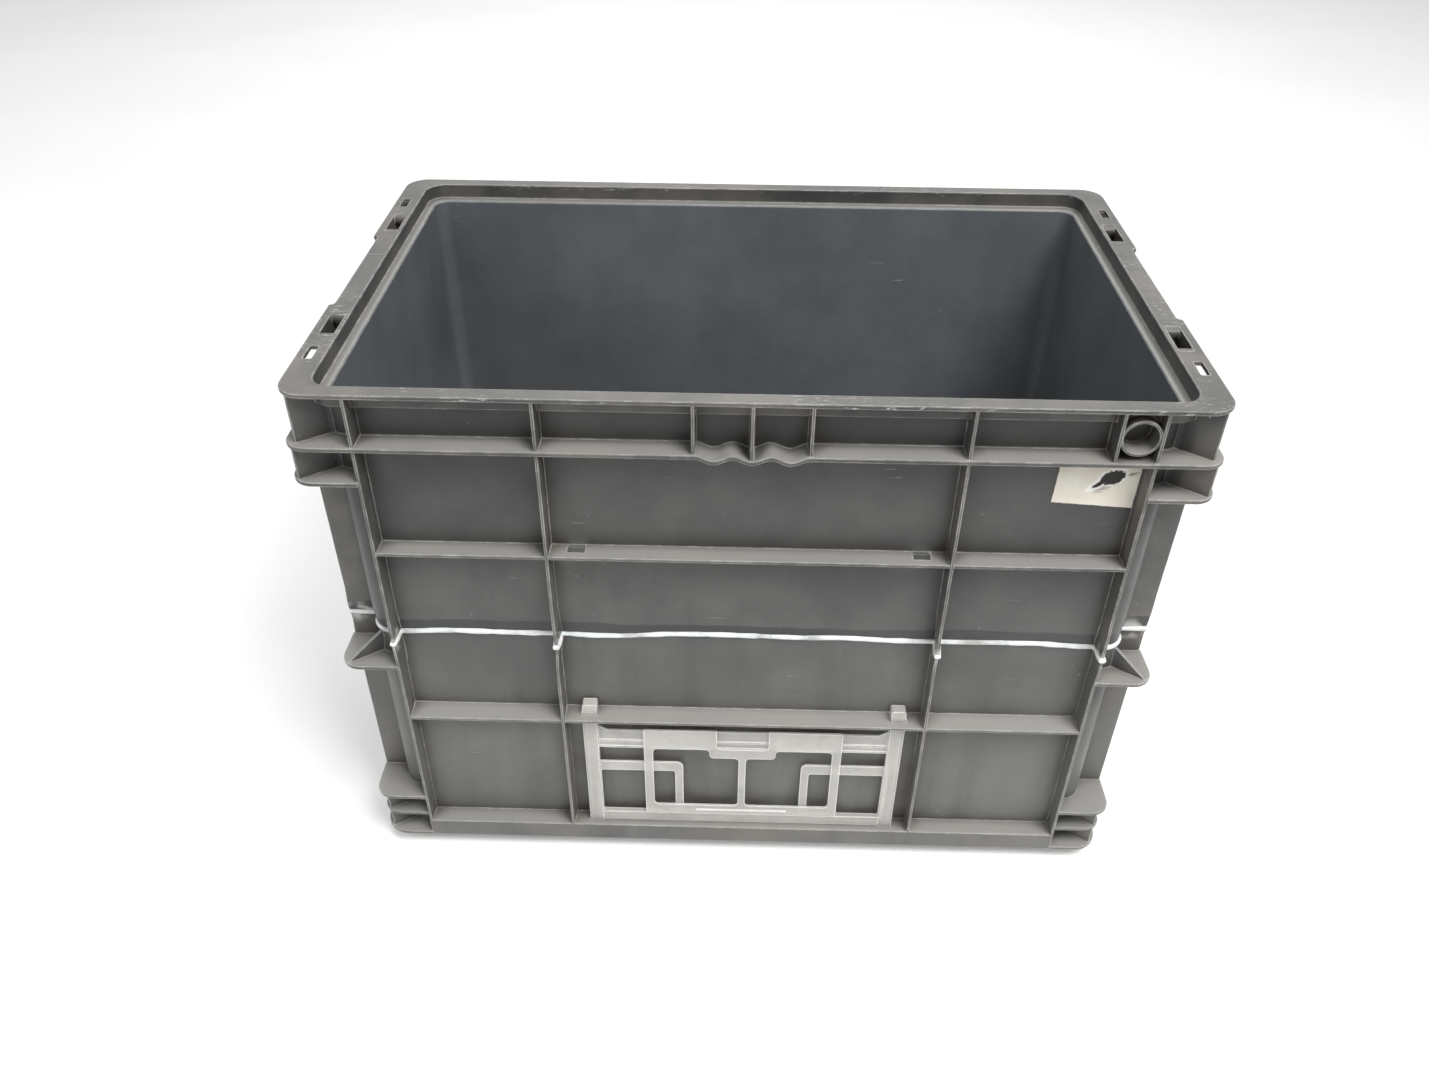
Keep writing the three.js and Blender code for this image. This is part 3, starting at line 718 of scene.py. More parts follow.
    gloss = r.fit(r.noise(15.0, 5.0), 0.3, 0.7, 0.38, 0.50)
    rough = r.math("ADD", gloss, r.times(dust_and_top_light, 0.16))
    rough = r.math("SUBTRACT", rough, r.times(strip, 0.10))
    grain = r.bump(r.noise(1500.0, 2.0), 0.00004, 0.5)
    ripple = r.bump(r.noise(16.0, 3.0), 0.0009, 0.25, grain)
    cuts = r.bump(r.math("MULTIPLY", marks_and_edge_highlight, -1.0), 0.00010, 0.5, ripple)
    return r.finish(Base_Color=color, Roughness=rough, Normal=cuts, Specular_IOR_Level=0.38)


GREY = grey_plastic()
print("made", GREY.name)

# %% [markdown]
# ## The melted bead
# Polypropylene that is squeezed out and stretched turns white. It is matt, a little stringy,
# and keeps grey where the shells' own colour comes through.

# %% Bead material
def weld_flash():
    r = Recipe("weld flash")
    strands = r.noise(1.0, 4.0, 0.6, r.stretched((90, 90, 420)))
    color = r.mix(r.fit(r.noise(38.0, 5.0), 0.28, 0.52), (0.36, 0.36, 0.35), (0.74, 0.74, 0.72))
    color = r.mix(r.fit(strands, 0.50, 0.72, 0.0, 0.6), color, (0.86, 0.86, 0.84))
    bump = r.bump(strands, 0.0005, 0.7)
    return r.finish(Base_Color=color, Roughness=0.55, Normal=bump, Subsurface_Weight=0.1)


FLASH = weld_flash()
print("made", FLASH.name)

# %% [markdown]
# ## Clear polypropylene
# Natural polypropylene is milky: light goes in, scatters and comes out warm. One thin bar hides
# about two thirds of the dark wall behind it, and two bars hide nearly all of it, so the
# overlaps look paler. Edges gather the scattered light and are the brightest lines of all.

# %% Clear plastic
def clear_plastic():
    r = Recipe("clear polypropylene")
    cloud = r.noise(24.0, 4.0)
    color = r.mix(r.fit(cloud, 0.3, 0.7), (0.66, 0.645, 0.61), (0.77, 0.745, 0.705))
    grime = r.times(r.fit(r.noise(34.0, 5.0, 0.6), 0.50, 0.80), 0.22)
    color = r.mix(grime, color, (0.52, 0.47, 0.40))
    # Painted highlight: the edges' colour is mixed almost to white for the light they gather, and the edges
    # are made nearly opaque.
    painted_edge_light = r.edges(0.0014)
    color = r.mix(r.times(painted_edge_light, 0.9), color, (0.97, 0.96, 0.94))
    body = r.fit(r.noise(20.0, 3.0), 0.3, 0.7, 0.38, 0.47)
    solid = r.math("MAXIMUM", body, r.times(painted_edge_light, 0.92))
    bump = r.bump(r.noise(420.0, 2.0), 0.00005, 0.4)
    rough = r.fit(r.noise(80.0, 3.0), 0.3, 0.7, 0.26, 0.40)
    return r.finish(
        Base_Color=color, Roughness=rough, Normal=bump, IOR=1.49, Alpha=solid,
        Subsurface_Weight=0.30, Subsurface_Radius=(0.004, 0.0035, 0.003), Subsurface_Scale=1.0,
    )


CLEAR = clear_plastic()
print("made", CLEAR.name)

# %% [markdown]
# ## Upper shell
# One closed section makes the wall, the ledge, the recess, the rim and the band flange. The
# flange's finger waves are made by cutting it across and letting the vertices follow a cosine.

# %% The upper ring
WAVE_HALF = 0.0375
WAVE_PERIOD = 0.025
WAVE_DEPTH = 0.004


def upper_ring():
    bm = loft([
        level(INNER, UPPER_EDGE),
        level(INNER, LEDGE_TOP, 0.0026),
        level(RECESS, LEDGE_TOP, 0.0014),
        level(RECESS, HEIGHT, 0.0014),
        level(RIM, HEIGHT, 0.0009),
        level(RIM, HEIGHT - PLATE, 0.0006),
        level(RECESS_WALL, HEIGHT - PLATE, 0.0008),
        level(RECESS_WALL, LEDGE_LOW, 0.0016),
        level(BODY, LEDGE_LOW, 0.0010),
        level(BODY, BAND_TOP, 0.0012),
        level(BAND, BAND_TOP, 0.0009),
        level(BAND, BAND_TOP - PLATE, 0.0007),
        level(BODY, BAND_TOP - PLATE, 0.0012),
        level(BODY, UPPER_EDGE),
    ])
    steps = 36
    divided(bm, 0, [WAVE_HALF * (2 * i / steps - 1) for i in range(steps + 1)])
    for v in bm.verts:
        in_flange = BAND_TOP - 0.006 < v.co.z < BAND_TOP + 0.003
        if in_flange and abs(v.co.y) > BODY.y + 0.0001 and abs(v.co.x) < WAVE_HALF:
            v.co.z -= WAVE_DEPTH / 2 * (1 + math.cos(2 * math.pi * v.co.x / WAVE_PERIOD))
    return made("crate_upper_shell", bm)


# %% Boss, slots and hand rests
BOSS = {"x": 0.2455, "z": 0.418, "outer": 0.0132, "inner": 0.0112, "front": -0.187, "fin": 0.2318}


def ring_boss():
    """A short tube on the wall, spun from the section of its rim."""
    bm = bmesh.new()
    section = [
        (BOSS["outer"] + 0.0006, -ROOT.y), (BOSS["outer"], BOSS["front"]),
        (BOSS["inner"], BOSS["front"]), (BOSS["inner"] - 0.0006, -ROOT.y),
    ]
    corners = [bm.verts.new((r, y, 0)) for r, y in section]
    bm.faces.new(corners)
    beveled(bm, corners[1:3], 0.0005, 2)
    bmesh.ops.delete(bm, geom=bm.faces[:], context="FACES_ONLY")
    bmesh.ops.spin(
        bm, geom=bm.verts[:] + bm.edges[:], cent=(0, 0, 0), axis=(0, 1, 0),
        angle=math.tau, steps=40, use_merge=True,
    )
    bmesh.ops.remove_doubles(bm, verts=bm.verts[:], dist=1e-6)
    bmesh.ops.translate(bm, vec=(BOSS["x"], 0, BOSS["z"]), verts=bm.verts[:])
    return bm


SLOT = (0.2863, 0.2965, 0.0725, 0.109)
TIE_HOLE = (0.291, 0.297, 0.124, 0.142)
HAND_HALF = 0.062
HAND_DEPTH = 0.004
SADDLE_RADIUS = 0.0038
SADDLE_LENGTH = 0.0112
SLEEVE_LOW = 0.426
SLEEVE_WALL = 0.002


def slot_sleeves():
    """Short walls that hang round each long slot, cut through together with the rim."""
    near, far, start, end = SLOT
    return gathered("sleeves", [
        block(
            sx * (near - 0.0016), sx * (far + SLEEVE_WALL),
            sy * (start - SLEEVE_WALL), sy * (end + SLEEVE_WALL), SLEEVE_LOW, HEIGHT - 0.0012,
        )
        for sx, sy in CORNERS
    ])


def rim_cuts():
    cuts = []
    z0, z1 = HEIGHT - 0.006, HEIGHT + 0.004
    for sx in (-1, 1):
        for sy in (-1, 1):
            near, far, start, end = SLOT
            cuts.append(block(
                sx * near, sx * far, sy * start, sy * end, SLEEVE_LOW - 0.004, z1, 0.0010,
            ))
            near, far, start, end = TIE_HOLE
            cuts.append(block(sx * near, sx * far, sy * start, sy * end, z0, z1, 0.0008))
        inset, past = sx * (RIM.x - HAND_DEPTH), sx * (RIM.x + 0.02)
        cuts.append(block(inset, past, -HAND_HALF, HAND_HALF, z0, z1, 0.003))
    return gathered("rim_cuts", cuts)


def rod(radius, length, place, segments):
    """A round bar that lies along X."""
    bm = bmesh.new()
    bmesh.ops.create_cone(
        bm, cap_ends=True, segments=segments, radius1=radius, radius2=radius, depth=length,
    )
    bmesh.ops.rotate(bm, matrix=Matrix.Rotation(math.pi / 2, 3, "Y"), verts=bm.verts[:])
    bmesh.ops.translate(bm, vec=place, verts=bm.verts[:])
    return bm


def slot_saddles():
    """The rounded lips across both ends of each long slot."""
    bars = []
    for sx, sy in CORNERS:
        for end in (SLOT[2] + 0.0028, SLOT[3] - 0.0028):
            place = (sx * 0.2914, sy * end, HEIGHT - SADDLE_RADIUS - 0.0001)
            bars.append(rod(SADDLE_RADIUS, SADDLE_LENGTH, place, 24))
    return gathered("saddles", bars)


# %% Join the upper shell
def upper_shell():
    under_rim, over_band = HEIGHT - 0.0012, BAND_TOP - 0.0015
    shell = upper_ring()
    combine(shell, corner_tiers([(BAND, TIER_C_TOP)]), "UNION")
    fins = main_fins(UPPER_EDGE + 0.0002, under_rim)
    combine(shell, clear_of_recess("fins", fins), "UNION")
    band_fins = [fin(side, x, over_band - WAVE_DEPTH * (x == 0), under_rim)
                 for side in ("front", "back") for x in BAND_FINS]
    band_fins.append(fin("front", BOSS["fin"], over_band, under_rim))
    combine(shell, clear_of_recess("band_fins", band_fins), "UNION")
    combine(shell, ribs(RIB_E_TOP), "UNION")
    webs = corner_webs(RIM, BAND_TOP - 0.0012, under_rim)
    webs += corner_webs(BAND, TIER_C_TOP - 0.001, BAND_TOP - 0.0018)
    combine(shell, clear_of_recess("webs", webs), "UNION")
    combine(shell, made("boss", ring_boss()), "UNION")
    combine(shell, slot_sleeves(), "UNION")
    combine(shell, rim_cuts(), "DIFFERENCE")
    combine(shell, slot_saddles(), "UNION")
    drifted(shell, [WELD + h for h in DRIFT_LEVELS])
    return finished(shell, GREY, "crate", UPPER_NODES)


upper_shell()

# %% [markdown]
# ## Lower shell
# The lower shell is a cup: one open section from the middle of the floor, up the inside, over
# the cut edge, down the outside and under the foot. The base band round it is hollow below.

# %% The cup and the base band
def cup():
    floor = Outline(INNER.x - 0.02, INNER.y - 0.02, 0.004)
    return made("crate_lower_shell", loft([
        level(floor, FLOOR_TOP),
        level(INNER, FLOOR_TOP, 0.005),
        level(INNER, LOWER_EDGE),
        level(BODY, LOWER_EDGE),
        level(BODY, FOOT_TOP, 0.0010),
        level(FOOT, FOOT_TOP, 0.0010),
        level(FOOT, 0.0, 0.0020),
        level(POCKET, 0.0, 0.0008),
        level(POCKET, 0.0025, 0.0006),
        level(floor, 0.0025),
    ], closed=False))


def base_band():
    half_x, half_y = LONG_END + 0.0008, SHORT_END + 0.0008
    band = made("band", block(-half_x, half_x, -BASE.y, BASE.y, BASE_LOW, BASE_TOP, 0.0016))
    across = block(-BASE.x, BASE.x, -half_y, half_y, BASE_LOW, BASE_TOP, 0.0016)
    combine(band, made("across", across), "UNION")
    inside = Outline(BASE.x - 0.0025, BASE.y - 0.0025, 0.003)
    combine(band, made("hollow", slab(inside, -0.05, BASE_TOP - PLATE)), "DIFFERENCE")
    combine(band, made("core", slab(ROOT, -0.1, 0.2)), "DIFFERENCE")
    near, far, notch_from, notch_to = NOTCH
    notches = [block(sx * near, sx * far, -notch_from, -notch_to, 0.02, 0.04, 0) for sx in (-1, 1)]
    return combine(band, gathered("notches", notches), "DIFFERENCE")


def base_corners():
    plates = [corner_plate(sx, sy, BASE, BASE_LOW, BASE_CORNER_TOP) for sx, sy in CORNERS]
    return combine(gathered("corners", plates), made("core", slab(ROOT, -0.1, 0.2)), "DIFFERENCE")


def base_grid():
    """Bars under the floor, in two sets that cross."""
    pitch, top = 0.078, 0.004
    half_x, half_y = POCKET.x + 0.002, POCKET.y + 0.002
    along = [block(-half_x, half_x, i * pitch - FIN / 2, i * pitch + FIN / 2, 0.0001, top)
             for i in (-1.5, -0.5, 0.5, 1.5)]
    across = [block(i * pitch - FIN / 2, i * pitch + FIN / 2, -half_y, half_y, 0.0003, top)
              for i in (-2.5, -1.5, -0.5, 0.5, 1.5, 2.5)]
    return gathered("along", along), gathered("across", across)


# %% Join the lower shell
RIB_SAG = 0.0030
RIB_REACH = 0.0148


def lower_shell():
    shell = cup()
    combine(shell, base_band(), "UNION")
    combine(shell, base_corners(), "UNION")
    for bars in base_grid():
        combine(shell, bars, "UNION")
    tiers = [(TIER_D, TIER_D_TOP), (TIER_F, TIER_F_TOP), (TIER_G, TIER_G_TOP)]
    combine(shell, corner_tiers(tiers), "UNION")
    combine(shell, gathered("fins", main_fins(BASE_LOW + 0.0003, LOWER_EDGE - 0.0002)), "UNION")
    combine(shell, ribs(RIB_G_TOP), "UNION")
    web_top = WELD - BEAD_HALF
    webs = corner_webs(TIER_D, TIER_D_TOP - 0.001, web_top, web_top - TIER_D_TOP)
    webs += corner_webs(TIER_G, TIER_G_TOP - 0.001, TIER_F_TOP - 0.001)
    webs += corner_webs(TIER_G, BASE_CORNER_TOP - 0.001, TIER_G_TOP - 0.002)
    combine(shell, gathered("webs", webs), "UNION")
    drifted(shell, [WELD - h for h in DRIFT_LEVELS])
    for v in shell.data.vertices:
        out = -v.co.y - BODY.y
        if RIB_G_TOP - 0.004 < v.co.z < RIB_G_TOP + 0.001 and out > 0.004:
            v.co.z -= RIB_SAG * out / RIB_REACH
    return finished(shell, GREY, "crate", LOWER_NODES)


lower_shell()

# %% [markdown]
# ## Weld bead
# The bead runs round the wall and out round every fin. A curve with a round section follows that
# path, its thickness wandering from point to point, and a voxel remesh melts the turns together.

# %% The bead's path
BEAD_SINK = 0.0003
BEAD_STEP = 0.006


def along_side(half, wall, reach, fins, r, out):
    """One side and the corner after it, in the side's own run and outward directions."""
    points = []
    t = FIN / 2 + out
    for place in fins:
        points += [(place - t, wall + out), (place - t, reach + out)]
        points += [(place + t, reach + out), (place + t, wall + out)]
    for i in range(7):
        a = math.radians(15 * i)
        points.append((half - r + (r + out) * math.sin(a), wall - r + (r + out) * math.cos(a)))
    return points


def contour(out):
    reach = fin_reach(WELD)
    long_side = along_side(BODY.x, BODY.y, reach, LONG_FINS, BODY.r, out)
    short_side = along_side(BODY.y, BODY.x, reach + SHORT_EXTRA, SHORT_FINS, BODY.r, out)
    path = [Vector((u, -v, WELD)) for u, v in long_side]
    path += [Vector((v, u, WELD)) for u, v in short_side]
    path += [Vector((-u, v, WELD)) for u, v in long_side]
    path += [Vector((-v, -u, WELD)) for u, v in short_side]
    return path


def inner_contour(out):
    path = []
    for k, (sx, sy) in enumerate(((1, -1), (1, 1), (-1, 1), (-1, -1))):
        centre = Vector((sx * (INNER.x - INNER.r), sy * (INNER.y - INNER.r), WELD))
        for i in range(7):
            a = math.radians(-90 + 90 * k + 15 * i)
            path.append(centre + Vector((math.cos(a), math.sin(a), 0)) * (INNER.r + out))
    return path


def stepped(path, step):
    points = []
    for here, there in zip(path, path[1:] + path[:1]):
        count = max(1, round((there - here).length / step))
        points += [here.lerp(there, i / count) for i in range(count)]
    return points


# %% The bead
def weld_bead():
    curve = bpy.data.curves.new("bead_path", "CURVE")
    curve.dimensions = "3D"
    curve.bevel_depth = BEAD_HALF
    curve.bevel_resolution = 4
    curve.use_fill_caps = True
    for path in (contour(-BEAD_SINK), inner_contour(BEAD_SINK)):
        points = stepped(path, BEAD_STEP)
        spline = curve.splines.new("POLY")
        spline.points.add(len(points) - 1)
        spline.use_cyclic_u = True
        for target, co in zip(spline.points, points):
            wobble = noise.noise(co * 60)
            target.co = (*(co + drift(co) + Vector((0, 0, 0.0005 * wobble))), 1)
            target.radius = 0.97 + 0.26 * noise.noise(co * 110 + Vector((3, 1, 4)))
    obj = bpy.data.objects.new("crate_weld_bead", curve)
    bpy.context.scene.collection.objects.link(obj)
    graph = bpy.context.evaluated_depsgraph_get()
    mesh = bpy.data.meshes.new_from_object(obj.evaluated_get(graph))
    bpy.data.objects.remove(obj)
    bead = bpy.data.objects.new("crate_weld_bead", mesh)
    bpy.context.scene.collection.objects.link(bead)
    melt = bead.modifiers.new("melt", "REMESH")
    melt.mode = "VOXEL"
    melt.voxel_size = 0.0007
    smooth = bead.modifiers.new("smooth", "SMOOTH")
    smooth.iterations = 2
    baked(bead)
    return finished(bead, FLASH, "crate", ["weld_bead"])


weld_bead()

# %% [markdown]
# ## Label holder and gate
# Both are thin flat mouldings, so each is drawn as overlapping bars and panels, joined into one
# skin, and then all its sharp edges are eased at once. Rounded panels start as a quad whose
# corner vertices are beveled.

# %% Panels
def panel(x0, x1, z0, z1, y0, y1, r=0.0):
    """A flat panel in X and Z. r rounds its corners."""
    bm = bmesh.new()
    corners = [bm.verts.new((x, y1, z)) for x, z in ((x0, z0), (x1, z0), (x1, z1), (x0, z1))]
    bm.faces.new(corners)
    if r:
        beveled(bm, corners, r, 6)
    thickened(bm, (0, y0 - y1, 0))
    return bm


def rounded(obj, radius):
    """Rounds the edges that run through a flat panel, inner and outer corners alike."""
    bm = bmesh.new()
    bm.from_mesh(obj.data)
    bmesh.ops.remove_doubles(bm, verts=bm.verts[:], dist=1e-6)
    bmesh.ops.dissolve_limit(bm, angle_limit=0.01, verts=bm.verts[:], edges=bm.edges[:])
    through = []
    for e in bm.edges:
        run = e.verts[1].co - e.verts[0].co
        if e.is_manifold and abs(run.y) > 0.99 * run.length and e.calc_face_angle() > 0.5:
            through.append(e)
    beveled(bm, through, radius, 6, "EDGES")
    bm.to_mesh(obj.data)
    bm.free()
    return obj


def united(name, solids):
    whole = made(name, solids[0])
    for bm in solids[1:]:
        combine(whole, made("part", bm), "UNION")
    return whole


SHARP_ANGLE = math.radians(50)


def eased(obj, amount):
    """Eases every sharp edge of a finished shape."""
    bm = bmesh.new()
    bm.from_mesh(obj.data)
    bmesh.ops.remove_doubles(bm, verts=bm.verts[:], dist=1e-6)
    bmesh.ops.dissolve_limit(
        bm, angle_limit=math.radians(0.5), verts=bm.verts[:], edges=bm.edges[:],
    )
    sharp = [e for e in bm.edges if e.is_manifold and e.calc_face_angle() > SHARP_ANGLE]
    beveled(bm, sharp, amount, 2, "EDGES")
    bmesh.ops.triangulate(bm, faces=[f for f in bm.faces if len(f.verts) > 4])
    bm.to_mesh(obj.data)
    bm.free()
    return obj


# %% Holder
holder_low, holder_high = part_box("label_holder")
gate_low, gate_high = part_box("label_gate")
POST_NEAR, POST_FAR = 0.1143, 0.1255
POST_FRONT, POST_BACK = -0.1814, -0.1732
PLANE_BACK, PLANE_FRONT = -0.1768, -0.1786
RAIL_LOW, RAIL_STEP, RAIL_HIGH = 0.116, 0.1245, 0.1345
ARM_NEAR, ARM_THICK, ARM_LOW, ARM_HIGH = 0.0475, 0.0065, 0.089, 0.099
BOTTOM_LOW, BOTTOM_HIGH = 0.0309, 0.0406
HEAD_NEAR, HEAD_TOP = 0.1136, 0.1648


def post(sx):
    low, high = holder_low.z, RIB_G_TOP + 0.0015
    x0, x1 = sorted((sx * POST_NEAR, sx * POST_FAR))
    web_near = sorted((sx * POST_NEAR, sx * (POST_NEAR + 0.0018)))
    web_far = sorted((sx * POST_FAR, sx * (POST_FAR - 0.0018)))
    head = sorted((sx * HEAD_NEAR, sx * (holder_high.x - 0.0014)))
    return [
        panel(x0, x1, low, high, POST_FRONT, POST_FRONT + 0.002),
        panel(*web_near, low, high - 0.0001, POST_FRONT + 0.0003, PLANE_BACK),
        panel(*web_far, low, high - 0.0001, POST_FRONT + 0.0003, POST_BACK),
        panel(*head, RIB_G_TOP + 0.0005, HEAD_TOP, holder_low.y + 0.0012, POST_BACK - 0.0003, 0.0016),
    ]


def arm(sx):
    """The bar that reaches in from a post, then turns down to the bottom rail."""
    outer = sorted((sx * ARM_NEAR, sx * (POST_NEAR + 0.004)))
    hole = sorted((sx * (ARM_NEAR + ARM_THICK), sx * (POST_NEAR - 0.0004)))
    plate = made("arm", panel(*outer, BOTTOM_LOW + 0.004, ARM_HIGH, PLANE_FRONT, PLANE_BACK - 0.0002, 0.005))
    window = panel(*hole, BOTTOM_HIGH, ARM_LOW, PLANE_FRONT - 0.002, PLANE_BACK + 0.002, 0.002)
    return combine(plate, made("window", window), "DIFFERENCE")


def label_holder():
    side = POST_NEAR + 0.0006
    bead = (PLANE_FRONT - 0.0004, PLANE_BACK - 0.0004)
    holder = united("crate_label_holder", [
        panel(-side, side, RAIL_LOW, RAIL_STEP, PLANE_FRONT, PLANE_BACK),
        panel(-side, side, RAIL_STEP - 0.001, RAIL_HIGH, PLANE_BACK - 0.0014, PLANE_BACK + 0.0002),
        panel(-side, side, RAIL_LOW - 0.0002, RAIL_LOW + 0.002, *bead),
        panel(-side, side, RAIL_STEP - 0.0018, RAIL_STEP + 0.0002, *bead),
        panel(-side, side, BOTTOM_LOW, BOTTOM_HIGH, POST_FRONT + 0.0004, PLANE_BACK + 0.0001),
        *post(-1), *post(1),
    ])
    for sx in (-1, 1):
        combine(holder, arm(sx), "UNION")
    for sx in (-1, 1):
        x0, x1 = sorted((sx * (POST_NEAR - 0.008), sx * (POST_NEAR + 0.001)))
        z0, z1 = RAIL_HIGH - 0.001, RAIL_HIGH + 0.006
        bm = panel(x0, x1, z0, z1, PLANE_FRONT + 0.0003, PLANE_BACK - 0.0003)
        for v in bm.verts:
            if abs(v.co.x) < POST_NEAR and v.co.z > RAIL_HIGH:
                v.co.z = RAIL_HIGH - 0.0003
        combine(holder, made("gusset", bm), "UNION")
    eased(holder, 0.00035)
    return finished(holder, CLEAR, "crate", ["label_holder"])


label_holder()

# %% [markdown]
# The gate has two tabs with a thumb dip between them, two windows, and a round bead along its
# foot where the hinge is. It rides on its own body, because it swings.

# %% Gate
hinge = next(j for j in frame["joints"] if j["name"] == "gate_hinge")
_, HINGE_Y, HINGE_Z = hinge["pos_m"]
GATE_FRONT, GATE_BACK = -0.1812, -0.1794
DIP_HALF, DIP_LOW = 0.0205, 0.118
WINDOW_NEAR, WINDOW_STEP, WINDOW_FAR = 0.0029, 0.0262, 0.0713
WINDOW_LOW, WINDOW_HIGH, WINDOW_TOP = 0.051, 0.108, 0.1173
WINDOW_CORNER = 0.0036
BAR_HALF = 0.037
BARREL_RADIUS = 0.0011


def gate_windows():
    """Each window is a low wide panel with a taller one on its outer side."""
    front, back = GATE_FRONT - 0.002, GATE_BACK + 0.002
    windows = None
    for sx in (-1, 1):
        x0, x1 = sorted((sx * WINDOW_NEAR, sx * WINDOW_FAR))
        wide = made("wide", panel(x0, x1, WINDOW_LOW, WINDOW_HIGH, front, back))
        x0, x1 = sorted((sx * WINDOW_STEP, sx * WINDOW_FAR))
        tall = panel(x0, x1, WINDOW_LOW + 0.004, WINDOW_TOP, front, back)
        combine(wide, made("tall", tall), "UNION")
        rounded(wide, WINDOW_CORNER)
        windows = combine(windows, wide, "UNION") if windows else wide
    return windows


def label_gate():
    half, top = gate_high.x, gate_high.z
    plate = panel(-half, half, HINGE_Z, top, GATE_FRONT, GATE_BACK, 0.0012)
    gate = made("crate_label_gate", plate)
    front, back = GATE_FRONT - 0.002, GATE_BACK + 0.002
    dip = panel(-DIP_HALF, DIP_HALF, DIP_LOW, top + 0.02, front, back, 0.004)
    combine(gate, made("dip", dip), "DIFFERENCE")
    combine(gate, gate_windows(), "DIFFERENCE")
    low, high = HINGE_Z + 0.003, HINGE_Z + 0.0044
    bar = panel(-BAR_HALF, BAR_HALF, low, high, gate_low.y, GATE_FRONT + 0.0005)
    combine(gate, made("bar", bar), "UNION")
    barrel = rod(BARREL_RADIUS, 2 * half - 0.0006, (0, HINGE_Y, HINGE_Z), 20)
    combine(gate, made("barrel", barrel), "UNION")
    eased(gate, 0.0003)
    return finished(gate, CLEAR, "gate", ["label_gate"])


label_gate()

# %% [markdown]
# ## Paper label
# A stuck-on label that someone tried to peel. The sheet is cut into a grid so that its edges can
# fray a little, and it keeps a real thickness. The torn patch is two ovals with a ragged edge.

# %% Paper material
paper_low, paper_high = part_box("paper_label")


def blot(r, x, z, half_x, half_z, turn):
    """Distance from a slanted oval on the label: 1 on its edge."""
    node = r.add("ShaderNodeMapping", vector_type="TEXTURE")
    r.feed(node.inputs["Vector"], r.place)
    node.inputs["Location"].default_value = (paper_low.x + x, paper_low.y, paper_high.z - z)
    node.inputs["Rotation"].default_value = (0, math.radians(turn), 0)
    node.inputs["Scale"].default_value = (half_x, 1.0, half_z)
    length = r.add("ShaderNodeVectorMath", operation="LENGTH")
    r.feed(length.inputs[0], node.outputs["Vector"])
    return length.outputs["Value"]


def worn_paper():
    r = Recipe("worn paper")
    color = r.mix(r.fit(r.noise(45.0, 5.0), 0.35, 0.7), (0.66, 0.62, 0.53), (0.74, 0.71, 0.63))
    stain = r.fit(r.math("SUBTRACT", paper_high.z, r.axis("Z")), 0.010, 0.0, 0.0, 0.55)
    color = r.mix(r.times(stain, r.noise(60.0, 3.0)), color, (0.42, 0.36, 0.26))
    ragged = r.times(r.math("SUBTRACT", r.noise(330.0, 4.0, 0.7), 0.5), 1.2)
    patch = r.math("ADD", blot(r, 0.0370, 0.0082, 0.0080, 0.0052, -22), ragged)
    tail = r.math("ADD", blot(r, 0.0290, 0.0136, 0.0050, 0.0015, -38), ragged)
    torn = r.math("MAXIMUM", r.fit(patch, 1.10, 0.95), r.fit(tail, 1.15, 0.95))
    bared = r.math("MAXIMUM", r.fit(tail, 2.3, 1.9), r.fit(patch, 1.35, 1.20))
    hairs = r.fit(r.noise(1.0, 3.0, 0.6, r.stretched((90, 90, 900), (0, -40, 0))), 0.40, 0.60)
    smear = r.times(r.fit(blot(r, 0.0315, 0.0150, 0.0085, 0.0046, -38), 1.2, 0.5), hairs)
    streak = r.times(r.fit(blot(r, 0.0475, 0.0060, 0.0095, 0.0013, -24), 1.2, 0.8), hairs)
    color = r.mix(r.times(smear, 0.65), color, (0.13, 0.125, 0.115))
    color = r.mix(r.times(streak, 0.80), color, (0.12, 0.10, 0.06))
    color = r.mix(r.times(bared, 0.75), color, (0.84, 0.83, 0.80))
    color = r.mix(torn, color, (0.030, 0.028, 0.025))
    bump = r.bump(r.noise(900.0, 3.0), 0.00006, 0.6)
    step = r.bump(r.math("MULTIPLY", torn, -1.0), 0.0002, 0.8, bump)
    return r.finish(Base_Color=color, Roughness=0.85, Normal=step)


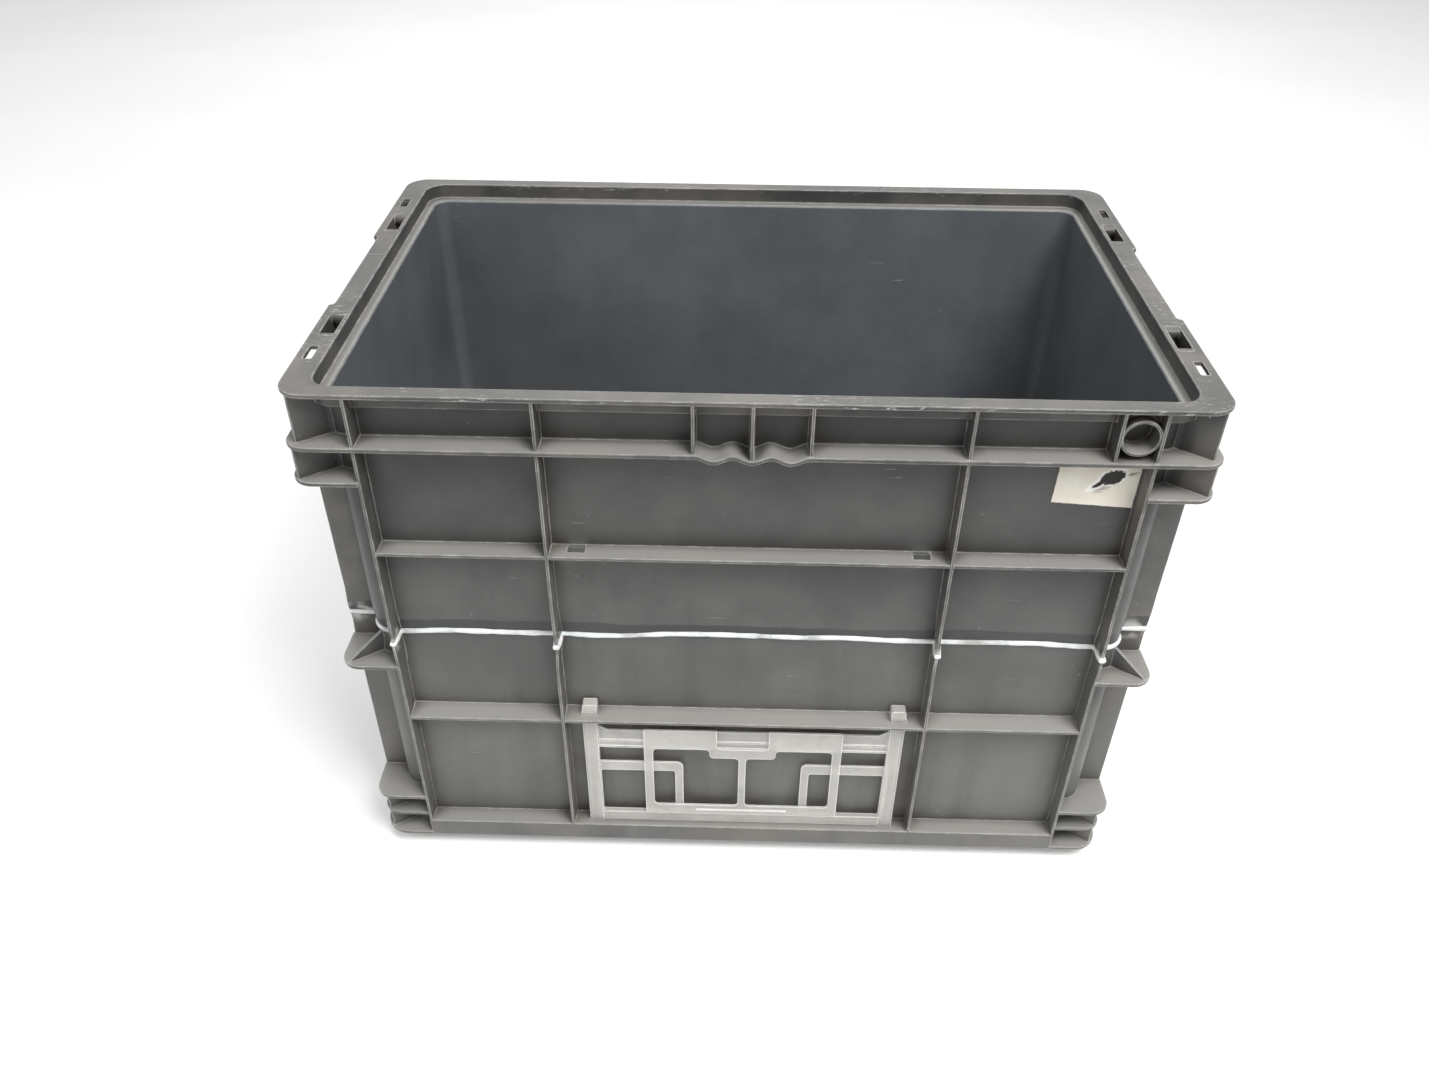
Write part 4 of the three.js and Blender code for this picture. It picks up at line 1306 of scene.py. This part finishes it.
# %% Paper label
def paper_label():
    left, right = paper_low.x, paper_high.x
    low, high = paper_low.z, paper_high.z
    bm = bmesh.new()
    corners = [(left, low + 0.0035), (right - 0.0006, low), (right, high - 0.0006), (left + 0.001, high)]
    bm.faces.new([bm.verts.new((x, paper_high.y, z)) for x, z in corners])
    bmesh.ops.subdivide_edges(bm, edges=bm.edges[:], cuts=31, use_grid_fill=True)
    for v in bm.verts:
        if v.is_boundary:
            v.co.x += 0.0003 * noise.noise(v.co * 900)
            v.co.z += 0.0004 * noise.noise(v.co * 700 + Vector((1, 2, 3)))
            v.co.x = min(max(v.co.x, left), right)
            v.co.z = min(max(v.co.z, low), high)
    for v in thickened(bm, (0, 0, 0)):
        v.co.y -= 0.00016 + 0.0001 * noise.noise(v.co * 160)
    label = made("crate_paper_label", bm)
    return finished(label, worn_paper(), "crate", ["paper_label"])


paper_label()

# %% [markdown]
# ## Floor and light
# A pale floor sends soft light up the walls, which is why the lower panels are lighter than the
# upper ones; the grey plastic adds painted bounce light there too. One lamp hangs in front and
# above, a weaker one stands on the left, and a broad one behind makes the far edges of the rim
# shine.

# %% Floor
floor_bm = bmesh.new()
bmesh.ops.create_grid(floor_bm, x_segments=1, y_segments=1, size=6)
floor = made("floor", floor_bm)
floor_recipe = Recipe("pale floor")
floor_tone = floor_recipe.fit(floor_recipe.noise(3.0), 0.3, 0.7)
floor_color = floor_recipe.mix(floor_tone, (0.83, 0.83, 0.82), (0.86, 0.86, 0.85))
floor.data.materials.append(floor_recipe.finish(
    Base_Color=floor_color, Roughness=0.8,
    Emission_Color=(1.0, 1.0, 1.0, 1.0), Emission_Strength=0.18,
))

# %% Lights
def lamp(name, place, target, size, power, color=(1, 1, 1)):
    data = bpy.data.lights.new(name, "AREA")
    data.shape = "SQUARE"
    data.size = size
    data.energy = power
    data.color = color
    obj = bpy.data.objects.new(name, data)
    obj.location = place
    obj.rotation_euler = (Vector(target) - Vector(place)).to_track_quat("-Z", "Y").to_euler()
    bpy.context.scene.collection.objects.link(obj)


lamp("top_light", (0.85, -1.0, 2.2), (0.1, 0, 0.2), 1.1, 61, (1.0, 0.99, 0.98))
lamp("side_light", (-1.3, -1.2, 1.5), (-0.1, 0, 0.2), 1.2, 13)
lamp("back_light", (0.0, 2.3, 2.6), (0, 1.2, 0), 2.4, 50)

world = bpy.data.worlds.new("room")
world.use_nodes = True
world.node_tree.nodes["Background"].inputs["Color"].default_value = (0.95, 0.97, 1.0, 1.0)
world.node_tree.nodes["Background"].inputs["Strength"].default_value = 0.34
bpy.context.scene.world = world
bpy.context.scene.view_settings.view_transform = "Standard"
print("lights ready")
